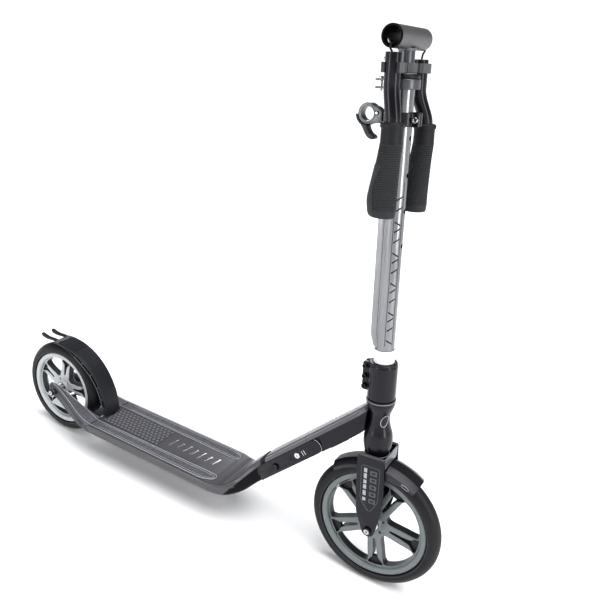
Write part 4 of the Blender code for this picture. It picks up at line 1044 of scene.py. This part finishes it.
def latch():
    """The split band with its socket screw in front, and behind it the ring with a pin through its arm."""
    profile = rounded([(0.0149, 0.6407), (0.0180, 0.6407), (0.0185, 0.6414), (0.0185, 0.6586),
                       (0.0180, 0.6593), (0.0149, 0.6593)], 0.0005)
    parts = [lathe(profile, 96, span=(4, 356))]
    for side in (-1, 1):
        low, high = sorted((side * 0.0010, side * 0.0080))
        parts.append(block((0.0150, low, 0.6405), (0.0265, high, 0.6595), 0.0012))
    parts.append(block((-0.0255, -0.0065, 0.6420), (-0.0165, 0.0065, 0.6590), 0.0008))
    piece("latch_band_body", parts, BLACK_ALLOY, "steering", ("latch_band",), STEM, 32)
    screw = bolt((0.0220, -0.0083, 0.6500), (0, 1, 0), 0.0160, 0.0019, 0.0044, 0.0036, socket=0.5)
    piece("latch_socket_screw", screw, STEEL, "steering", ("latch_band_screw",), STEM, 30)
    x, z = LATCH_EYE
    loop = np.vstack(([(-0.0262, 0.6430), (-0.0262, 0.6588), (-0.0330, 0.6640)],
                      arc(x, z, 0.0145, 48, 284, 60), [(-0.0380, 0.6428)]))
    ring = slab(rounded(loop, 0.0012, 2), -0.0070, 0.0070, 0.0012, [circle(0.0095, 72, x, z),
                                                                  circle(0.0021, 24, *LATCH_PIN)], 4)
    lip = lathe(rounded([(0.0094, -0.0074), (0.0118, -0.0074), (0.0118, 0.0071), (0.0094, 0.0071)], 0.0005),
                96, "y", (x, 0, z))
    piece("latch_ring_body", [ring, lip], GREY_ALLOY, "steering", ("latch_ring",), STEM, 32)
    pin = lathe(rounded([(0.0, -0.0086), (0.0018, -0.0086), (0.0018, 0.0094), (0.0, 0.0094)], 0.0003), 32,
                "y", (LATCH_PIN[0], 0, LATCH_PIN[1]))
    piece("latch_cross_pin", [pin], STEEL, "steering", ("latch_pin",), STEM, 30)


def latch_lever():
    """A curved jaw that hugs the ring, with a hooked thumb tail, hung from a thin cheek on the cross pin."""
    x, z = LATCH_EYE
    inner, outer = arc(x, z, 0.0152, 262, 184, 30), arc(x, z, 0.0182, 184, 236, 20)
    tail = glide([(-0.0545, 0.6345), (-0.0505, 0.6275), (-0.0455, 0.6222), (-0.0390, 0.6205),
                  (-0.0370, 0.6225), (-0.0378, 0.6252), (-0.0430, 0.6285), (-0.0466, 0.6335),
                  (-0.0484, 0.6385)], 4)
    jaw = slab(np.vstack((inner, outer, tail)), -0.0070, 0.0074, 0.0009)
    rim = arc(x, z, 0.0176, 188, 258, 24)
    arm = rounded([(-0.0380, 0.6425), (-0.0300, 0.6530), (-0.0300, 0.6600), (-0.0370, 0.6600),
                   (-0.0392, 0.6500)], 0.0012, 2)
    cheek = slab(np.vstack((rim, arm[1:-1], arc(x, z, 0.0120, 290, 192, 24))), 0.0072, 0.0095, 0.0004,
                 [circle(0.0021, 20, *LATCH_PIN)])
    piece("latch_lever_hook", [jaw, cheek], BLACK, "latch", ("latch_lever",), STEM, 34,
          lambda points: 0.5 + 0 * points[:, 0])


stem_clamp()
stem_tube()
stem_marks()
height_collar()
latch()
latch_lever()


# Handlebar


def handlebar_top():
    """The inner tube, and the T-tube with a snap hole through the back of each end."""
    inner = rounded([(0.0093, 0.3852), (0.0111, 0.3852), (0.0111, 0.7400), (0.0093, 0.7400)], 0.0004)
    piece("inner_tube", [lathe(inner, 96)], GREY_ALLOY, "handlebar", ("inner_stem_tube",), STEM,
          30)
    weld = lathe(rounded([(0.0093, 0.7360), (0.0114, 0.7360), (0.0128, 0.7392), (0.0093, 0.7392)], 0.0006),
                 96)
    profile = [(0.0118, -0.0540), (TUBE_RADIUS, -0.0540), (TUBE_RADIUS, -0.0524), (TUBE_RADIUS, -0.0518),
               (TUBE_RADIUS, 0.0518), (TUBE_RADIUS, 0.0524), (TUBE_RADIUS, 0.0540), (0.0118, 0.0540)]
    wall = lathe(rounded(profile, 0.0006), 128, "y", (0, 0, T_LEVEL))
    drills = [cross_drill(0.0046, -0.008, 0.008, (-0.0140, y, 0.7460)) for y in (-0.0360, 0.0360)]

    # Painted shade inside the T-tube's bore takes the dark second colour. The end rims past 0.0525 take it
    # too.
    def inside(points):
        at = local(points, STEM)
        shaded_bore = (np.hypot(at[:, 0], at[:, 2] - T_LEVEL) < 0.0126) * (at[:, 2] > 0.7402)
        return np.maximum(shaded_bore, np.abs(at[:, 1]) > 0.0525)

    piece("t_tube_shell", [drilled(wall, *drills), weld], SATIN, "handlebar", ("t_tube",), STEM,
          30, inside)


def bar_clip():
    """A ribbed collar with an open jaw for a bar on each side: outlines in plan, thick up the stem."""
    low, high = 0.7086, 0.7214
    parts = []
    turn = np.linspace(0, 2 * np.pi, 240, endpoint=False)
    radius = 0.0151 + 0.0004 * np.cos(turn * 26)
    outline = np.stack((radius * np.cos(turn), radius * np.sin(turn)), -1)
    parts.append(lying(slab(outline, low, high, 0.0008, [circle(0.0114, 64)])))
    opening = 47
    for side, name in SIDES:
        x, y, _ = BAR_TOPS[name]
        start, end = side * 90 + opening, side * 90 + 360 - opening
        outer, inner = arc(0, 0, 0.0148, start, end, 60), arc(0, 0, 0.0111, end, start, 60)
        ripple = 1 + 0.022 * np.cos(np.linspace(0, 2 * np.pi * 14, 60))[:, None]
        jaw = np.vstack((outer * ripple, inner)) + (x, y)
        parts.append(lying(slab(jaw, low, high, 0.0006)))
        bridge = slab(rounded([(-0.0052, side * 0.0130), (0.0052, side * 0.0130), (0.0052, side * 0.0325),
                               (-0.0052, side * 0.0325)], 0.0008), low + 0.0002, high - 0.0002, 0.0006)
        parts.append(lying(bridge))
    piece("bar_clip_moulding", parts, CLIP, "handlebar", ("bar_clip",), STEM, 34,
          lambda points: 0.8 * (np.abs(points[:, 1]) > 0.053))


def bar_line(name, levels):
    """The middle of a bar: straight, then an easing S-bend out and forward, then straight again."""
    x, y, top = BAR_TOPS[name]
    share = np.clip((top - 0.0375 - levels) / 0.0480, 0, 1)
    ease = share * share * (3 - 2 * share)
    return x + BAR_LEAN[name] * ease, y + math.copysign(0.0060, y) * ease


def bar(name):
    """A handlebar half with a bored top, an S-bend and a straight foot inside its grip, and its snap pin."""
    cx, cy, top = BAR_TOPS[name]
    below = np.concatenate(([BAR_LENGTH, BAR_LENGTH], np.linspace(0.1900, 0.0900, 10),
                            np.linspace(0.0885, 0.0345, 40), [0.0010, 0.0003, 0, 0, 0.0004, 0.0330, 0.0330]))
    radii = np.concatenate(([0.0], np.full(52, 0.0107), [0.0105, 0.0102, 0.0091, 0.0088, 0.0088, 0.0]))
    levels = top - below
    x, y = bar_line(name, levels)
    solid = column(np.column_stack((x, y, radii, radii, levels)), 64)
    drill = cross_drill(0.0027, -0.010, 0.000, (cx - 0.0045, cy, top - BUTTON_DROP[name]), 24)

    def rim(points):
        return 0.9 * (local(points, STEM)[:, 2] > top - 0.0009)

    piece(f"bar_{name}_tube", [drilled(solid, drill)], BLACK_ALLOY, f"bar_{name}", (f"bar_{name}",), STEM,
          30, rim)
    button = column([(0, 0, 0, 0, 0), (0, 0, 0.0022, 0.0022, 0), (0, 0, 0.0022, 0.0022, 0.0066),
                     (0, 0, 0.0016, 0.0016, 0.0077), (0, 0, 0, 0, 0.0080)], 24)
    points = button[0][:, [2, 1, 0]] * (-1, 1, 1) + (cx - 0.0050, cy, top - BUTTON_DROP[name])
    piece(f"snap_pin_{name}", [(points, button[1])], STEEL, f"snap_{name}", (f"snap_button_{name}",), STEM,
          30)


def grip(name):
    """A rubber grip: ovals that lean back towards the palm wing, with rows of small dimples between its
    smooth collar and its end. Depth of a dimple falls off as a cosine round its middle, and so does the
    shade painted into it."""
    rows = glide(((0.0120, 0.0120, 0.0, 0.1190), (0.0140, 0.0140, 0.0, 0.1186), (0.0157, 0.0157, 0.0, 0.1172),
                  (0.0160, 0.0160, 0.0, 0.1140), (0.0157, 0.0157, 0.0, 0.1124), (0.0147, 0.0147, 0.0, 0.1110),
                  (0.0147, 0.0147, 0.0, 0.0950), (0.0148, 0.0147, 0.0, 0.0940)), 8)
    low = glide(((0.0150, 0.0149, 0.0, 0.0925), (0.0160, 0.0152, -0.0025, 0.0700),
                 (0.0182, 0.0158, -0.0055, 0.0450), (0.0202, 0.0165, -0.0080, 0.0200),
                 (0.0198, 0.0165, -0.0075, 0.0040)), 48)
    foot = glide(((0.0196, 0.0164, -0.0074, 0.0025), (0.0184, 0.0156, -0.0066, -0.0025),
                  (0.0160, 0.0140, -0.0052, -0.0052), (0.0110, 0.0100, -0.0030, -0.0060)), 6)
    along, across, shift, above = np.vstack((rows, low, foot)).T
    level = BAR_TOPS[name][2] - BAR_LENGTH + above
    cx, cy = bar_line(name, level)
    pitch, columns, dimples_top, wing_top = 0.0030, 42, 0.0915, 0.066
    turn = np.linspace(0, 2 * np.pi, 6 * columns, endpoint=False)
    row = above / pitch
    column_at = turn / (2 * np.pi) * columns
    zone = np.clip((dimples_top - above) / 0.0008, 0, 1) * np.clip((above - 0.0045) / 0.0008, 0, 1)
    curve = -0.0035 - 0.0090 * np.clip((0.062 - above) / 0.025, 0, 1)
    curve += 0.0035 * np.clip((0.020 - above) / 0.02, 0, 1)
    wing = np.clip((wing_top - above) / 0.002, 0, 1)[:, None] * (
        (along[:, None] * np.cos(turn) + shift[:, None]) < curve[:, None] - 0.0035)
    zone = zone[:, None] * (1 - wing)
    ripple = np.cos((row[:, None] % 1 - 0.5) * np.pi) * np.cos((column_at % 1 - 0.5) * np.pi)
    depth = 0.0006 * wing - 0.0009 * np.clip(ripple, 0, 1) ** 1.5 * zone
    x = (cx + shift)[:, None] + (along[:, None] + depth) * np.cos(turn)
    y = cy[:, None] + (across[:, None] + depth) * np.sin(turn)
    grid = np.stack((x, y, np.broadcast_to(level[:, None], x.shape)), -1)
    start = 0 * grid[:1] + (cx[0], cy[0], level[0])
    end = 0 * grid[:1] + (cx[-1] + shift[-1], cy[-1], level[-1])
    mesh = net(np.concatenate((start, grid, end)), caps=False)

    def hollows(points):
        at = local(points, STEM)
        up = at[:, 2] - BAR_TOPS[name][2] + BAR_LENGTH
        count = np.arange(len(above))
        cut = np.interp(-up, -above, count)
        lean, wide, deep, limit = (np.interp(cut, count, size) for size in (shift, along, across, curve))
        mid_x, mid_y = bar_line(name, at[:, 2])
        around = np.arctan2((at[:, 1] - mid_y) / deep, (at[:, 0] - mid_x - lean) / wide) % (2 * np.pi)
        # Painted shade: each dimple is darker towards its middle, following its depth.
        painted_dimple_shade = np.cos((up / pitch % 1 - 0.5) * np.pi)
        painted_dimple_shade *= np.cos((around / (2 * np.pi) * columns % 1 - 0.5) * np.pi)
        back = (up < wing_top) * (at[:, 0] - mid_x < limit - 0.0035)
        ribbed = (up < dimples_top) * (up > 0.0045) * (1 - back)
        return np.where(up > dimples_top, 0.6, np.clip(painted_dimple_shade, 0, 1) ** 1.5 * ribbed * 0.9)

    piece(f"grip_{name}_rubber", [mesh], GRIP, f"bar_{name}", (f"grip_{name}",), STEM, 60,
          hollows)


def elastic():
    """A braided elastic through the T-tube, out over each lip and down into each bar half. Each half of it
    follows the T-tube down to the lip and its own bar below that."""
    inside = ((0.0000, 0.7440), (0.0300, 0.7428), (0.0450, 0.7424), (0.0530, 0.7430))
    outside = ((0.0574, 0.7408), (0.0570, 0.7372), (0.0545, 0.7355), (0.0512, 0.7335), (0.0480, 0.7270),
               (0.0455, 0.7180), (0.0450, 0.7080))
    for side, name in SIDES:
        knots = [(0, side * y, z) for y, z in inside] + [(BAR_TOPS[name][0], side * y, z) for y, z in outside]
        path = glide(knots, 8)
        half = piece(f"elastic_cord_{name}", [sweep(path, circle(0.0013, 16), (1, 0, 0))], ELASTIC, None,
                     ("elastic_cord",), STEM)
        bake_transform(half)


handlebar_top()
bar_clip()
for name in ("right", "left"):
    bar(name)
    grip(name)
elastic()


# Carried-over small parts

for name in ("front_bearing_left", "front_bearing_right", "rear_bearing_left", "rear_bearing_right",
             "headset_bearing_lower", "headset_bearing_upper", "front_spacer_left", "front_spacer_right",
             "rear_spacer_left", "rear_spacer_right", "fender_pin"):
    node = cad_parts[name]
    node.data.materials.clear()
    node.data.materials.append(STEEL)


# Floor, light and camera


def studio():
    """A wide pale floor, a surround that is bright near the horizon and dim overhead, one broad soft light
    from above and three tall soft lights round the scooter."""
    floor = bpy.data.materials.new("floor_white")
    floor.use_nodes = True
    floor.node_tree.nodes["Principled BSDF"].inputs["Base Color"].default_value = (0.94, 0.94, 0.94, 1)
    floor.node_tree.nodes["Principled BSDF"].inputs["Roughness"].default_value = 0.9
    side = np.linspace(-60, 60, 3)
    x, y = np.meshgrid(side, side, indexing="ij")
    points, faces = net(np.stack((x, y, 0 * x), -1), wrap_cols=False)
    mesh = bpy.data.meshes.new("floor")
    mesh.from_pydata(points.tolist(), [], faces)
    mesh.materials.append(floor)
    ground = bpy.data.objects.new("floor", mesh)
    bpy.context.scene.collection.objects.link(ground)
    world = bpy.data.worlds.new("studio")
    world.use_nodes = True
    nodes, links = world.node_tree.nodes, world.node_tree.links
    sky, split = nodes.new("ShaderNodeTexCoord"), nodes.new("ShaderNodeSeparateXYZ")
    fall = nodes.new("ShaderNodeValToRGB")
    fall.color_ramp.elements[0].position = 0.08
    fall.color_ramp.elements[0].color = (1, 1, 1, 1)
    fall.color_ramp.elements[1].position = 0.30
    fall.color_ramp.elements[1].color = (0.16, 0.165, 0.18, 1)
    links.new(sky.outputs["Generated"], split.inputs["Vector"])
    links.new(split.outputs["Z"], fall.inputs["Fac"])
    links.new(fall.outputs["Color"], nodes["Background"].inputs["Color"])
    nodes["Background"].inputs["Strength"].default_value = 1.0
    bpy.context.scene.world = world
    above = bpy.data.lights.new("above_light", "SUN")
    above.energy = 3.1
    above.angle = math.radians(50)
    high = bpy.data.objects.new("above_light", above)
    high.rotation_euler = Vector((-0.25, 0.10, -1)).to_track_quat("-Z", "Y").to_euler()
    bpy.context.scene.collection.objects.link(high)
    for name, place, target, size, power in (
            ("right_light", (-0.9, -2.0, 1.1), (0.1, 0, 0.4), (0.5, 1.8), 16),
            ("front_light", (2.2, -0.5, 1.1), (0.2, 0, 0.4), (0.5, 1.8), 16),
            ("back_light", (-1.0, 2.2, 1.2), (0.2, 0, 0.4), (0.6, 1.6), 12)):
        lamp = bpy.data.lights.new(name, "AREA")
        lamp.shape = "RECTANGLE"
        lamp.size, lamp.size_y = size
        lamp.energy = power
        light = bpy.data.objects.new(name, lamp)
        light.location = place
        light.rotation_euler = (Vector(target) - Vector(place)).to_track_quat("-Z", "Y").to_euler()
        bpy.context.scene.collection.objects.link(light)


def camera():
    """The view from the right front, set by the camera's right and up directions and its place."""
    lens = bpy.data.cameras.new("camera")
    lens.sensor_width = 36.0
    lens.lens = 39.43
    view = bpy.data.objects.new("camera", lens)
    right = Vector((0.859227, 0.501530, 0.100977))
    up = Vector((-0.268749, 0.274536, 0.923257))
    back = right.cross(up)
    matrix = view.matrix_world.copy()
    for row in range(3):
        matrix[row][0], matrix[row][1], matrix[row][2] = right[row], up[row], back[row]
        matrix[row][3] = (0.63232, -0.86463, 0.85136)[row]
    view.matrix_world = matrix
    bpy.context.scene.collection.objects.link(view)
    bpy.context.scene.camera = view


studio()
camera()
bpy.context.scene.view_settings.view_transform = "Standard"
bpy.context.scene.view_settings.look = "Medium High Contrast"
